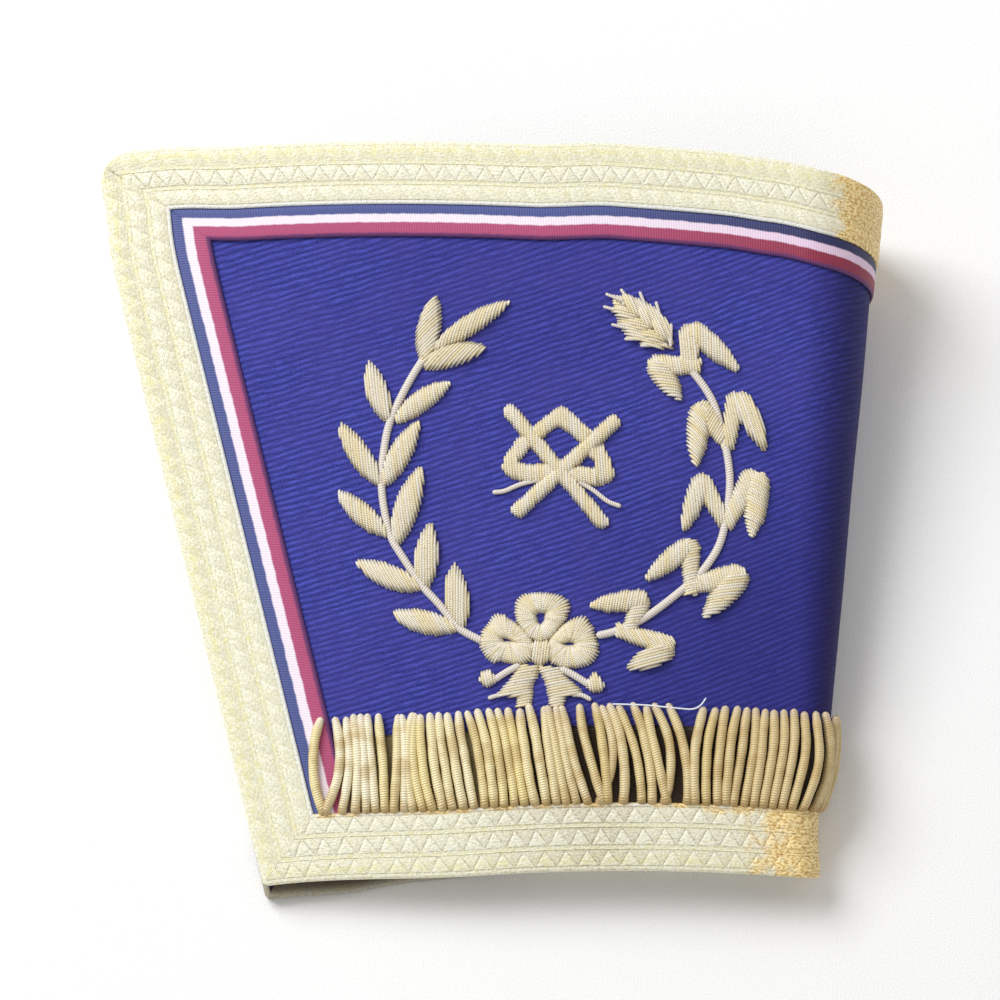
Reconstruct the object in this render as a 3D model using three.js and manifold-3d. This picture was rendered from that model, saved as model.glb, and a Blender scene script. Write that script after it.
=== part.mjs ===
// One embroidered regalia cuff: a conical gauntlet of stiffened cloth, closed in a ring and lying on its
// side. Millimetres. +X runs across the cuff, +Y up the arm from the wrist rim to the wide rim, +Z up from
// the surface that it lies on. The origin is under the middle of its box.
import * as THREE from "three";
import { mergeVertices } from "three/addons/utils/BufferGeometryUtils.js";
import Module from "manifold-3d";

const wasm = await Module();
wasm.setup();

// Cloth and trim thicknesses
const WALL = 1.5; // stiffened cloth
const SEAT = 0.3; // gap between a trim and the cloth that it is sewn to
const BRAID_THICK = 0.9;
const TRIM = SEAT + BRAID_THICK; // how far the braid's face stands off the cloth's face
const RIBBON_THICK = 0.5;
const TAPE_THICK = 0.8;
const JOIN = TAPE_THICK + 2 * SEAT; // room for the closing tape between the cuff's two ends

// Trim widths, measured across each trim
const BRAID_WIDTH = 13.5;
const RIBBON_WIDTH = 7.6;
const CORNER_RADIUS = 6; // rounded corner where an end meets the wide rim
const TAPE_WIDTH = 6;
const TAPE_FROM_END = 1;

// The two rims. Each is a flattened ring, seen from above as an arc of radius arcR whose crown is at
// (crownX, crownY): a front that sags from the bend to the end, a round bend and a back that lies flat
// and then curls up to the front's end.
const WIDE = {
  endX: -85.5, // where the ring's two ends meet
  endZ: 30, // height of the front's cloth face there
  foldX: 85.5, // outermost point of the bend, trim included
  bendR: 17.8,
  curlRun: 75, // stretch of the back that curls up to the end
  crownX: -32.5,
  crownY: 77.6,
  arcR: 760,
  backInset: 1, // the back's end stops short of the front's
  backShift: 1.5, // the back lies this much further up the arm
};
const WRIST = {
  endX: -46,
  endZ: TRIM + 2 * WALL + JOIN,
  foldX: 69.2,
  bendR: 4.8,
  curlRun: 40,
  crownX: 26.8,
  crownY: -74.5,
  arcR: 490,
  backInset: 0.3,
  backShift: 2.4,
};
const SHIFT_FADE = 30; // the back's shift fades out over this length next to its end

// Stations round the ring: 0 to 1 is the front from its end to the bend, 1 to 2 the bend, 2 to 3 the back
const FRONT_STEPS = 10;
const BEND_STEPS = 12;
const BACK_STEPS = 24;
const ARM_STEPS = 8; // rows up the arm
const CLOSEST = 0.03; // no shared station comes nearer than this to a mitre
const CORNER_STEPS = [0.3, 0.6, 1, 1.6, 2.2]; // stations round the rounded corner, as shares of its radius
const WALL_CORNER_STEPS = 4;
const MITRE_STEP = 0.4; // spread of the inner edge's stations at a mitre

// Fringe: locks of bullion, sewn at the wrist braid's edge and pointing up the arm
const FRINGE_HEAD = 3; // width of the head tape
const FRINGE_LENGTH = 20.5;
const LOCKS = 60;
const LOCK_GAP = 0.5;
const LOCK_OVERLAP = 0.5; // how far a lock's foot starts inside the head
const LOCK_LOW = SEAT + 0.02; // underside of the head; a lock's lies as much again higher
const LOCK_FLAT = SEAT + 0.75; // face of the locks pressed under the back
const LOCK_FULL = SEAT + 1.6; // face of the locks on the front
const LOCK_BULGE = 0.9; // extra stand-off at the middle of a lock on the front and the bend
const PRESSED = [1.45, 1.8]; // stations between which the locks get pressed flat

// Embroidery: padded satin stitch in metal thread, over the cloth's front
const PAD_LOW = SEAT;
const LEAF_PAD = 1.7;
const STEM_PAD = 0.9;
const STEM_WIDTH = 1.5;
const PAD_CROWN = 0.55; // width of a pad's flat top, as a share of its foot
const LEAF_SHAPE = [
  { t: 0, wide: 0.3, tall: 0.6 },
  { t: 0.25, wide: 0.8, tall: 0.95 },
  { t: 0.55, wide: 1, tall: 1 },
  { t: 0.8, wide: 0.7, tall: 0.85 },
  { t: 1, wide: 0.12, tall: 0.4 },
];

// Left branch: laurel leaves, each from its foot to its tip
const LAUREL_LEAVES = [
  { foot: [-13.5, 29.5], tip: [-11, 44], width: 5 },
  { foot: [-11.5, 32.5], tip: [4.5, 42.5], width: 4.2 },
  { foot: [-13.5, 29], tip: [-0.5, 33], width: 4.8 },
  { foot: [-21, 17.5], tip: [-25, 30.5], width: 4.4 },
  { foot: [-19.5, 17.5], tip: [-8, 25.5], width: 4.2 },
  { foot: [-22.5, 4.5], tip: [-31, 17.5], width: 4.4 },
  { foot: [-21.5, 4.5], tip: [-14.5, 17.5], width: 4.8 },
  { foot: [-21, -6], tip: [-31.5, 3.5], width: 4.2 },
  { foot: [-19, -8], tip: [-14, 8], width: 5.2 },
  { foot: [-13, -17.5], tip: [-12, -3.5], width: 5 },
  { foot: [-14, -17], tip: [-27.5, -11.5], width: 4.6 },
  { foot: [-5.5, -26], tip: [-7, -12], width: 5.2 },
  { foot: [-6.5, -25.5], tip: [-20, -22], width: 4.6 },
];
const LAUREL_STEM = [
  [-2.2, -27.6], [-6.5, -25.5], [-9.5, -21], [-14, -16.5], [-17.5, -11], [-20.5, -6.5], [-22, 0.5],
  [-22.5, 6.5], [-21.5, 14.5], [-20.5, 18], [-18.5, 22.5], [-15.5, 28], [-11, 33],
];

// Right branch: wheat, with pairs of leaves that rise from a node, fold and droop
const WHEAT_LEAVES = [
  { node: [44, 28.5], bend: [42.5, 37], tip: [52.5, 28] },
  { node: [44, 28.5], bend: [34.5, 30.5], tip: [40.5, 21.5] },
  { node: [49.5, 13], bend: [43.5, 20.5], tip: [43, 7.5] },
  { node: [50.5, 13], bend: [53, 22.5], tip: [58, 10.5] },
  { node: [50, -3.5], bend: [45, 6], tip: [41, -5.5] },
  { node: [50, -3.5], bend: [56, 6.5], tip: [55, -7.5] },
  { node: [42.5, -17.5], bend: [41.5, -7.5], tip: [32.5, -16] },
  { node: [43, -17.5], bend: [53, -14], tip: [44.5, -24] },
  { node: [32, -25], bend: [33, -18], tip: [20.5, -21] },
  { node: [31.5, -25.5], bend: [39, -28], tip: [29, -34.5] },
];
const WHEAT_LEAF_WIDTH = 4.4;
// A folded leaf rises from its node and droops to its tip
const WHEAT_RISE = [
  { t: 0, wide: 0.35, pad: 1 },
  { t: 0.5, wide: 0.8, pad: 1.4 },
  { t: 1, wide: 0.8, pad: LEAF_PAD },
];
const WHEAT_DROOP = [
  { t: 0, wide: 0.8, pad: LEAF_PAD },
  { t: 0.5, wide: 1, pad: 1.6 },
  { t: 1, wide: 0.35, pad: 1 },
];
const WHEAT_STEM = [
  [38, 33], [44, 28.5], [44.5, 25], [48, 20], [50, 16], [50.5, 10.5], [51, 3], [50, -3.5],
  [48.5, -9], [45, -13.5], [43, -17.5], [38.5, -20], [33, -24.5], [27.5, -26.5], [23.9, -27.3],
];
const EAR = {
  foot: [39, 32],
  tip: [28, 42],
  width: 4.5,
  pad: 1.6,
  kernels: [0.15, 0.38, 0.62, 0.85], // places of the kernel pairs along the ear
  kernelLength: 5.5,
  kernelWidth: 2.6,
  kernelPad: 1.3,
  splay: 32, // degrees
};

// Bow that joins the branches: three loops, two broad tails and two curled side tails round a knot
const BOW_KNOT = { at: [10.6, -30], radius: 2.6, pad: 1.8 };
const LOOP_PAD = 1.3;
const LOOP_STEPS = 12;
const TAIL_PAD = 1.1;
const TAIL_TAPER = 0.7;
const BOW_LOOPS = [
  { centre: [11.3, -23], radii: [4.1, 3.2], band: 3.4 },
  { centre: [3.6, -28], radii: [3.7, 3.2], band: 3.2 },
  { centre: [18, -28.5], radii: [3.7, 3.2], band: 3.2 },
];
const BOW_TAILS = [
  { path: [[10.6, -30], [8.6, -34], [7.5, -39.2]], width: 3.4 },
  { path: [[10.6, -30], [13.5, -34.5], [16.2, -39]], width: 4.6 },
  { path: [[10.6, -30], [5, -33.5], [1.5, -35], [-0.8, -36.3]], width: 2 },
  { path: [[10.6, -30], [15.5, -34], [19, -36], [22.5, -37]], width: 2 },
];

// Crossed rods tied with a ribbon, at the middle of the wreath
const RODS = [
  { from: [4.2, 20.5], to: [24, -4.5], width: 3.4, pad: 1.5 },
  { from: [26.2, 18], to: [5.8, -1.4], width: 3.4, pad: 1.8 },
];
const ROD_RIBBON_TAPER = 0.8;
const ROD_RIBBON = [
  { path: [[8.6, 14.8], [12, 17.8], [15.3, 19.4], [18.4, 17.8], [21.6, 14.8]], width: 2.6 },
  { path: [[9, 15], [5.5, 12], [3.6, 8.6], [8, 7], [13.8, 6.6]], width: 2.4 },
  { path: [[22.4, 14], [24.6, 10.5], [25.6, 6.4], [21, 5.6], [17, 6.6]], width: 2.4 },
  { path: [[11.4, 13.4], [15.3, 10.2], [19.2, 13.4]], width: 2 },
  { path: [[14.5, 6.2], [9, 4], [1.2, 2.2]], width: 1.7 },
  { path: [[16.5, 6.2], [21, 3.2], [27.6, -0.4]], width: 1.7 },
];

const lerp = THREE.MathUtils.lerp;
const clamp = THREE.MathUtils.clamp;

// The cloth's outer face

function rimPoint(rim, along) {
  const bendX = rim.foldX - TRIM - rim.bendR;
  const top = TRIM + 2 * rim.bendR;
  let x, z;
  if (along <= 1) {
    const out = 1 - along;
    x = lerp(bendX, rim.endX, out);
    z = top - (top - rim.endZ) * out ** 3;
  } else if (along <= 2) {
    const turn = Math.PI * (along - 1);
    x = bendX + rim.bendR * Math.sin(turn);
    z = TRIM + rim.bendR * (1 + Math.cos(turn));
  } else {
    const endX = rim.endX + rim.backInset;
    const endZ = rim.endZ - 2 * WALL - JOIN;
    x = lerp(bendX, endX, along - 2);
    z = TRIM + (endZ - TRIM) * clamp(1 - (x - endX) / rim.curlRun, 0, 1) ** 2;
  }
  const sag = rim.arcR - Math.sqrt(rim.arcR ** 2 - (x - rim.crownX) ** 2);
  const fade = along <= 2 ? 1 : THREE.MathUtils.smoothstep(x - rim.endX, 0, SHIFT_FADE);
  const y = rim.crownY - sag + rim.backShift * THREE.MathUtils.smoothstep(along, 1, 2) * fade;
  return new THREE.Vector3(x, y, z);
}

function clothPoint(along, up) {
  return rimPoint(WRIST, along).lerp(rimPoint(WIDE, along), up);
}

// A point lifted off the cloth's face; a negative lift goes into the cloth
function lifted(along, up, lift) {
  const step = 1e-3;
  const a = clamp(along, step, 3 - step);
  const round = clothPoint(a + step, up).sub(clothPoint(a - step, up));
  const arm = rimPoint(WIDE, a).sub(rimPoint(WRIST, a));
  const out = round.cross(arm).normalize();
  return clothPoint(along, up).addScaledVector(out, lift);
}

function slant(along) {
  return rimPoint(WIDE, along).distanceTo(rimPoint(WRIST, along));
}

// Station that lies a given length from the front's end (0) or the back's end (3), at a given height
// up the arm
function stationFromEnd(end, length, up) {
  const step = end === 0 ? 2e-3 : -2e-3;
  let along = end;
  let here = clothPoint(along, up);
  for (let walked = 0; walked < length; ) {
    const next = clothPoint(along + step, up);
    const stride = next.distanceTo(here);
    if (walked + stride >= length) return along + (step * (length - walked)) / stride;
    walked += stride;
    along += step;
    here = next;
  }
  return along;
}

// How far the rounded corner takes the wide rim down, at a given length from the cuff's end
function cornerDrop(fromEnd) {
  const inward = CORNER_RADIUS - Math.min(fromEnd, CORNER_RADIUS);
  return CORNER_RADIUS - Math.sqrt(CORNER_RADIUS ** 2 - inward ** 2);
}

// Place by two lengths: from an end along the ring, and from a rim along the arm
function place(end, fromEnd, rim, fromRim) {
  const near = end === 0 ? 0 : 3;
  const guess = rim === WIDE ? 1 : 0;
  const up0 = Math.abs(guess - fromRim / slant(near));
  const along = stationFromEnd(end, fromEnd, up0);
  return { along, up: Math.abs(guess - fromRim / slant(along)) };
}

function ringStations() {
  const list = [];
  for (let i = 0; i <= FRONT_STEPS; i++) list.push(i / FRONT_STEPS);
  for (let i = 1; i <= BEND_STEPS; i++) list.push(1 + i / BEND_STEPS);
  for (let i = 1; i <= BACK_STEPS; i++) list.push(2 + i / BACK_STEPS);
  return list;
}

// Solids

function geometryOf(points, triangles) {
  const g = new THREE.BufferGeometry();
  g.setAttribute("position", new THREE.Float32BufferAttribute(points.flatMap((p) => p.toArray()), 3));
  g.setIndex(triangles);
  return g;
}

// Skin through closed sections that all have the same number of points, capped at both ends
function loft(sections) {
  const n = sections[0].length;
  const triangles = [];
  for (let s = 0; s + 1 < sections.length; s++) {
    for (let k = 0; k < n; k++) {
      const a = s * n + k;
      const b = s * n + ((k + 1) % n);
      triangles.push(a, b, b + n, a, b + n, a + n);
    }
  }
  const last = (sections.length - 1) * n;
  // The caps are strips between the two halves of a section: right for a thin sheet and for a convex pad
  for (let k = 0; k + 1 < n / 2; k++) {
    const near = [k, k + 1, n - 2 - k, n - 1 - k];
    const [a, b, c, d] = near;
    triangles.push(a, c, b, a, d, c, last + a, last + b, last + c, last + a, last + c, last + d);
  }
  return geometryOf(sections.flat(), triangles);
}

// Sheet over a grid of places on the cloth, from lift low to lift high. Its rows run round the ring and each
// row's places run down the arm.
function sheet(rows, low, high) {
  return loft(
    rows.map((row) => [
      ...row.map(({ along, up }) => lifted(along, up, high)),
      ...row.toReversed().map(({ along, up }) => lifted(along, up, low)),
    ]),
  );
}

function between(a, b, t) {
  return { along: lerp(a.along, b.along, t), up: lerp(a.up, b.up, t) };
}

// The same, between two edges given as pairs of places
function band(edges, low, high, steps = 1) {
  const rows = edges.map(([a, b]) => Array.from({ length: steps + 1 }, (_, k) => between(a, b, k / steps)));
  return sheet(rows, low, high);
}

function solidOf(geometry) {
  const g = mergeVertices(geometry, 1e-4);
  const mesh = new wasm.Mesh({
    numProp: 3,
    vertProperties: g.attributes.position.array,
    triVerts: new Uint32Array(g.index.array),
  });
  return new wasm.Manifold(mesh);
}

function fuse(geometries) {
  let whole = solidOf(geometries[0]);
  for (const g of geometries.slice(1)) whole = whole.add(solidOf(g));
  const mesh = whole.simplify(0.01).getMesh();
  const g = new THREE.BufferGeometry();
  g.setAttribute("position", new THREE.BufferAttribute(Float32Array.from(mesh.vertProperties), 3));
  g.setIndex(Array.from(mesh.triVerts));
  return g;
}

// Wall, braid, ribbon and closing tape

function cuffWall() {
  const edge = (along, fromEnd) => [{ along, up: 1 - cornerDrop(fromEnd) / slant(along) }, { along, up: 0 }];
  const quarter = Math.PI / 2 / WALL_CORNER_STEPS;
  const turns = Array.from({ length: WALL_CORNER_STEPS + 1 }, (_, i) => i * quarter);
  const corner = turns.map((turn) => CORNER_RADIUS * (1 - Math.cos(turn)));
  const round = (end) => corner.map((fromEnd) => edge(stationFromEnd(end, fromEnd, 1), fromEnd));
  const [first, last] = [0, 3].map((end) => stationFromEnd(end, CORNER_RADIUS, 1));
  const shared = ringStations().filter((a) => a > first + CLOSEST && a < last - CLOSEST);
  const edges = [...round(0), ...shared.map((along) => edge(along, CORNER_RADIUS)), ...round(3).toReversed()];
  return band(edges, -WALL, 0, ARM_STEPS);
}

// Stations of a trim that runs round the ring between its two mitred ends. Its two edges lie at the lengths
// outer and inner from the rim.
function trimRound(rim, outer, inner) {
  const gap = SEAT / 2;
  const rounded = rim === WIDE && outer === 0;
  const mitre = rounded ? CORNER_STEPS.map((t) => CORNER_RADIUS * t) : [outer, inner];
  const cut = (end) =>
    mitre.map((fromEnd, i) => [
      place(end, fromEnd + gap, rim, rounded ? cornerDrop(fromEnd + gap) : outer),
      place(end, inner + gap + i * MITRE_STEP, rim, inner),
    ]);
  const [first, last] = [cut(0), cut(3)].map((edges) => edges[mitre.length - 1][1].along);
  const shared = ringStations().filter((a) => a > first + CLOSEST && a < last - CLOSEST);
  const fromRim = (d, along) => (rim === WIDE ? 1 - d / slant(along) : d / slant(along));
  const across = shared.map((along) => [outer, inner].map((d) => ({ along, up: fromRim(d, along) })));
  const edges = [...cut(0), ...across, ...cut(3).toReversed()];
  return rim === WIDE ? edges : edges.map(([a, b]) => [b, a]);
}

// Stations of a trim that runs up one end of the cuff, mitred to the trims of the two rims
function trimUpEnd(end, outer, inner) {
  const gap = SEAT / 2;
  const edges = [outer, CORNER_RADIUS * 0.3, CORNER_RADIUS, inner].map((fromEnd) => [
    place(end, fromEnd, WIDE, Math.max(fromEnd, cornerDrop(fromEnd)) + gap),
    place(end, fromEnd, WRIST, fromEnd + gap),
  ]);
  return end === 0 ? edges : edges.toReversed();
}

function ribbonEdges() {
  const outer = BRAID_WIDTH + SEAT;
  const inner = outer + RIBBON_WIDTH;
  const foot = BRAID_WIDTH + SEAT;
  const upEnd = (end) => {
    const low = [place(end, outer, WRIST, foot), place(end, inner, WRIST, foot)];
    const high = [place(end, outer, WIDE, outer), place(end, inner, WIDE, inner)];
    return Array.from({ length: ARM_STEPS + 1 }, (_, k) =>
      [0, 1].map((side) => between(low[side], high[side], k / ARM_STEPS)),
    );
  };
  const across = trimRound(WIDE, outer, inner).slice(1, -1);
  return [...upEnd(0), ...across, ...upEnd(3).toReversed()];
}

function closingTape() {
  const margin = BRAID_WIDTH / 2;
  const lengths = [TAPE_FROM_END, TAPE_FROM_END + TAPE_WIDTH];
  const edges = lengths.map((fromEnd) => [WIDE, WRIST].map((rim) => place(0, fromEnd, rim, margin)));
  return band(edges, -WALL - SEAT - TAPE_THICK, -WALL - SEAT, ARM_STEPS);
}

// Fringe

function fringe() {
  const headLow = BRAID_WIDTH + SEAT;
  const headHigh = headLow + FRINGE_HEAD;
  const clear = BRAID_WIDTH + RIBBON_WIDTH + 2 * SEAT;
  const start = place(0, clear, WRIST, headLow).along;
  const stop = place(3, clear, WRIST, headLow).along;
  const up = (along, d) => d / slant(along);
  const inside = ringStations().filter((a) => a > start + CLOSEST && a < stop - CLOSEST);
  const stations = [start, ...inside, stop];
  const head = stations.map((along) => [
    { along, up: up(along, headHigh) },
    { along, up: up(along, headLow) },
  ]);
  const parts = [band(head, LOCK_LOW, LOCK_FLAT)];
  const walk = evenStations(start, stop, up(1, headHigh), LOCKS);
  for (let i = 0; i < LOCKS; i++) parts.push(lock(walk[i], walk[i + 1], headLow));
  return fuse(parts);
}

// Stations at even lengths round the ring, between two stations
function evenStations(start, stop, up, count) {
  const fine = 1500;
  const lengths = [0];
  for (let i = 1; i <= fine; i++) {
    const a = clothPoint(lerp(start, stop, (i - 1) / fine), up);
    lengths.push(lengths[i - 1] + a.distanceTo(clothPoint(lerp(start, stop, i / fine), up)));
  }
  const list = [];
  let i = 0;
  for (let k = 0; k <= count; k++) {
    const goal = (lengths[fine] * k) / count;
    while (i < fine && lengths[i] < goal) i++;
    list.push(lerp(start, stop, i / fine));
  }
  return list;
}

function lock(from, to, headLow) {
  const footUp = headLow / slant(from);
  const span = clothPoint(from, footUp).distanceTo(clothPoint(to, footUp));
  const inset = ((to - from) * LOCK_GAP) / 2 / span;
  const pressed = THREE.MathUtils.smoothstep((from + to) / 2, ...PRESSED);
  const sections = [0, 0.5, 1].map((t) => {
    const bulge = LOCK_BULGE * 4 * t * (1 - t);
    const face = lerp(LOCK_FULL + bulge, LOCK_FLAT, pressed);
    const d = headLow + LOCK_OVERLAP + t * (FRINGE_LENGTH - LOCK_OVERLAP);
    const upA = d / slant(from);
    const upB = d / slant(to);
    return [
      lifted(from + inset, upA, 2 * LOCK_LOW - SEAT),
      lifted(to - inset, upB, 2 * LOCK_LOW - SEAT),
      lifted(to - inset, upB, face),
      lifted(from + inset, upA, face),
    ];
  });
  return loft(sections.toReversed());
}

// Embroidery, placed on the front from above

// Cloth station over a place on the plan, by Newton steps
function stationOver(x, y) {
  let along = 0.5;
  let up = 0.5;
  const step = 1e-3;
  for (let i = 0; i < 8; i++) {
    const p = clothPoint(along, up);
    const da = clothPoint(along + step, up).sub(p).divideScalar(step);
    const du = clothPoint(along, up + step).sub(p).divideScalar(step);
    const det = da.x * du.y - da.y * du.x;
    along += ((x - p.x) * du.y - (y - p.y) * du.x) / det;
    up += ((y - p.y) * da.x - (x - p.x) * da.y) / det;
  }
  return { along, up };
}

function onFront(x, y, lift) {
  const { along, up } = stationOver(x, y);
  return lifted(along, up, lift);
}

// Padded bar along a path on the plan, with a width and a height at each of its points
function pad(path, widths, heights) {
  const sections = path.map(([x, y], i) => {
    const before = path[Math.max(i - 1, 0)];
    const after = path[Math.min(i + 1, path.length - 1)];
    const run = new THREE.Vector2(after[0] - before[0], after[1] - before[1]).normalize();
    const at = (side, lift) => onFront(x - run.y * side, y + run.x * side, lift);
    const w = widths[i] / 2;
    const top = PAD_LOW + heights[i];
    return [at(w, PAD_LOW), at(w * PAD_CROWN, top), at(-w * PAD_CROWN, top), at(-w, PAD_LOW)];
  });
  return loft(sections);
}

function mix(a, b, t) {
  return [lerp(a[0], b[0], t), lerp(a[1], b[1], t)];
}

function leaf(foot, tip, width, high = LEAF_PAD) {
  return pad(
    LEAF_SHAPE.map(({ t }) => mix(foot, tip, t)),
    LEAF_SHAPE.map(({ wide }) => wide * width),
    LEAF_SHAPE.map(({ tall }) => tall * high),
  );
}

function bar(path, width, high, endWidth = width) {
  const last = path.length - 1;
  return pad(
    path,
    path.map((_, i) => (i === last ? endWidth : width)),
    path.map(() => high),
  );
}

function laurelBranch() {
  const leaves = LAUREL_LEAVES.map(({ foot, tip, width }) => leaf(foot, tip, width));
  return fuse([bar(LAUREL_STEM, STEM_WIDTH, STEM_PAD), ...leaves]);
}

function wheatBranch() {
  const parts = [bar(WHEAT_STEM, STEM_WIDTH, STEM_PAD)];
  const half = (from, to, shape) =>
    pad(
      shape.map(({ t }) => mix(from, to, t)),
      shape.map(({ wide }) => wide * WHEAT_LEAF_WIDTH),
      shape.map(({ pad: high }) => high),
    );
  for (const { node, bend, tip } of WHEAT_LEAVES) {
    parts.push(half(node, bend, WHEAT_RISE), half(bend, tip, WHEAT_DROOP));
  }
  const heading = new THREE.Vector2(EAR.tip[0] - EAR.foot[0], EAR.tip[1] - EAR.foot[1]).angle();
  parts.push(leaf(EAR.foot, EAR.tip, EAR.width, EAR.pad));
  for (const t of EAR.kernels) {
    for (const side of [-1, 1]) {
      const foot = mix(EAR.foot, EAR.tip, t);
      const angle = heading + side * THREE.MathUtils.degToRad(EAR.splay);
      const reach = [Math.cos(angle), Math.sin(angle)].map((c) => c * EAR.kernelLength);
      parts.push(leaf(foot, [foot[0] + reach[0], foot[1] + reach[1]], EAR.kernelWidth, EAR.kernelPad));
    }
  }
  return fuse(parts);
}

// A ribbon loop, as two bars that overlap at their ends
function ring({ centre, radii, band: width }) {
  const path = Array.from({ length: LOOP_STEPS + 1 }, (_, i) => {
    const a = (i / LOOP_STEPS) * 2 * Math.PI;
    return [centre[0] + radii[0] * Math.cos(a), centre[1] + radii[1] * Math.sin(a)];
  });
  const half = LOOP_STEPS / 2;
  return [path.slice(0, half + 2), path.slice(half)].map((arc) => bar(arc, width, LOOP_PAD));
}

function bow() {
  const { at, radius, pad: high } = BOW_KNOT;
  const knot = bar([[at[0], at[1] - radius], at, [at[0], at[1] + radius]], 2 * radius, high);
  const tails = BOW_TAILS.map(({ path, width }) => bar(path, width, TAIL_PAD, width * TAIL_TAPER));
  return fuse([knot, ...BOW_LOOPS.flatMap((loop) => ring(loop)), ...tails]);
}

function crossedRods() {
  const rods = RODS.map(({ from, to, width, pad: high }) => bar([from, mix(from, to, 0.5), to], width, high));
  const ribbon = ROD_RIBBON.map(({ path, width }) => bar(path, width, TAIL_PAD, width * ROD_RIBBON_TAPER));
  return fuse([...rods, ...ribbon]);
}

// The object

const blue = { color: 0x3c3f9c, roughness: 0.75, metalness: 0 };
const gold = { color: 0xd8cca0, roughness: 0.45, metalness: 0.6 };
const tricolour = { color: 0x3a4f8c, roughness: 0.6, metalness: 0 };
const bullion = { color: 0xc0ae7e, roughness: 0.4, metalness: 0.7 };
const thread = { color: 0xd9cbb3, roughness: 0.4, metalness: 0.5 };
const tape = { color: 0x1c1c2a, roughness: 0.9, metalness: 0 };

const cuff = new THREE.Group();

function add(name, geometry, look) {
  const mesh = new THREE.Mesh(geometry, new THREE.MeshStandardMaterial(look));
  mesh.name = name;
  cuff.add(mesh);
}

add("cuff_wall", cuffWall(), blue);
add("braid_wide_rim", band(trimRound(WIDE, 0, BRAID_WIDTH), SEAT, TRIM), gold);
add("braid_wrist_rim", band(trimRound(WRIST, 0, BRAID_WIDTH), SEAT, TRIM), gold);
add("braid_front_end", band(trimUpEnd(0, 0, BRAID_WIDTH), SEAT, TRIM, ARM_STEPS), gold);
add("braid_back_end", band(trimUpEnd(3, 0, BRAID_WIDTH), SEAT, TRIM, ARM_STEPS), gold);
add("tricolour_ribbon", band(ribbonEdges(), SEAT, SEAT + RIBBON_THICK), tricolour);
add("bullion_fringe", fringe(), bullion);
add("laurel_branch", laurelBranch(), thread);
add("wheat_branch", wheatBranch(), thread);
add("bow", bow(), thread);
add("crossed_rods", crossedRods(), thread);
add("closing_tape", closingTape(), tape);

const middle = new THREE.Box3().setFromObject(cuff).getCenter(new THREE.Vector3());
cuff.position.set(-middle.x, -middle.y, 0);

export default cuff;
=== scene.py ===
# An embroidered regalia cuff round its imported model: ribbed silk, gold braid, striped ribbon, bullion fringe
# and a wreath in metal thread. Lengths are millimetres in the source frame until a mesh is made.
import math

import bpy
import numpy as np
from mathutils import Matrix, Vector


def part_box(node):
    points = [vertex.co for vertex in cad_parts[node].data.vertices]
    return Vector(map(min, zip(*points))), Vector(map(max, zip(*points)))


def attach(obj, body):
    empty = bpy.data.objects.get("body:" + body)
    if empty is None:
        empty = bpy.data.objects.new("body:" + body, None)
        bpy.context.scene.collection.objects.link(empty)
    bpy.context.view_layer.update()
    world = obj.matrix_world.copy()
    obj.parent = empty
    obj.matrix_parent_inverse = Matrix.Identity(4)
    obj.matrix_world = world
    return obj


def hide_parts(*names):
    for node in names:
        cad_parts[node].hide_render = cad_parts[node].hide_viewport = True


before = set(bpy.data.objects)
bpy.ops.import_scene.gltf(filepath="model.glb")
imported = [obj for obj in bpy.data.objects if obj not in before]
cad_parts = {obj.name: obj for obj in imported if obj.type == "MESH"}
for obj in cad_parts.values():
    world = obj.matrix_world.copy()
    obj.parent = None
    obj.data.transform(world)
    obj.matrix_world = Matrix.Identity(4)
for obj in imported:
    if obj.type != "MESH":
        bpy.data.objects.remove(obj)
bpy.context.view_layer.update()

MM = 0.001
BODY = "root"
random = np.random.default_rng(1813)

# Cloth and trims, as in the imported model
WALL = 1.5
SEAT = 0.3
TRIM = 1.2
JOIN = 1.4
BRAID_WIDTH = 13.5
RIBBON_WIDTH = 7.6
RIBBON_FACE = 0.8
RIM_BRAID_SHARE = 0.985  # the trims lie narrower along the wide rim than up the ends
RIM_RIBBON_SHARE = 0.88
CORNER_RADIUS = 9
CORNER_CUT = CORNER_RADIUS * (1 - math.sqrt(0.5))
SHIFT_FADE = 30
FRINGE_FROM_END = BRAID_WIDTH + RIBBON_WIDTH + 2 * SEAT
# How the end's edge is drawn in below its corner, and how the fringe draws the fold in
NIP = {"depth": 1.5, "up": 0.94, "rise": 0.055, "reach": 0.16}
PINCH = {"depth": 1.8, "from_x": 48, "to_x": 67, "up": 0.08, "rise": 0.065}
FLOOR_GAP = 0.02
# Stations between which the cloth turns round the folded side and lies flat again
FOLD_BEGINS = (0.96, 1.3)
FOLD_ENDS = (1.6, 2.0)
CORNER_ROUNDS = 30
PLAN_ROUNDS = 8
WIDE = {
    "end_x": -85.5, "end_z": 30, "fold_x": 85.5, "bend_r": 17.8, "curl_run": 75,
    "crown_x": -32.5, "crown_y": 77.6, "arc_r": 760, "back_inset": 1, "back_shift": 1.5,
    "waves": [(-70, 0), (-55, -0.95), (8, -0.95), (26, 0.3), (50, 0.45), (60, 0), (72, -0.95)],
}
WRIST = {
    "end_x": -46, "end_z": TRIM + 2 * WALL + JOIN, "fold_x": 69.2, "bend_r": 4.8, "curl_run": 40,
    "crown_x": 26.8, "crown_y": -74.5, "arc_r": 490, "back_inset": 0.3, "back_shift": 2.4,
    "waves": [(-52, 3.4), (-2, 0)],
    "back_waves": [(-46, 1.2), (-25, -1.2), (-10, -0.9), (8, 0)],
}

# The source frame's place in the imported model, from the cloth's outermost points
wall_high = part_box("cuff_wall")[1]
SHIFT = np.array([
    wall_high.x / MM - (WIDE["fold_x"] - TRIM),
    wall_high.y / MM - (WIDE["crown_y"] + WIDE["back_shift"]),
    0,
])


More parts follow.
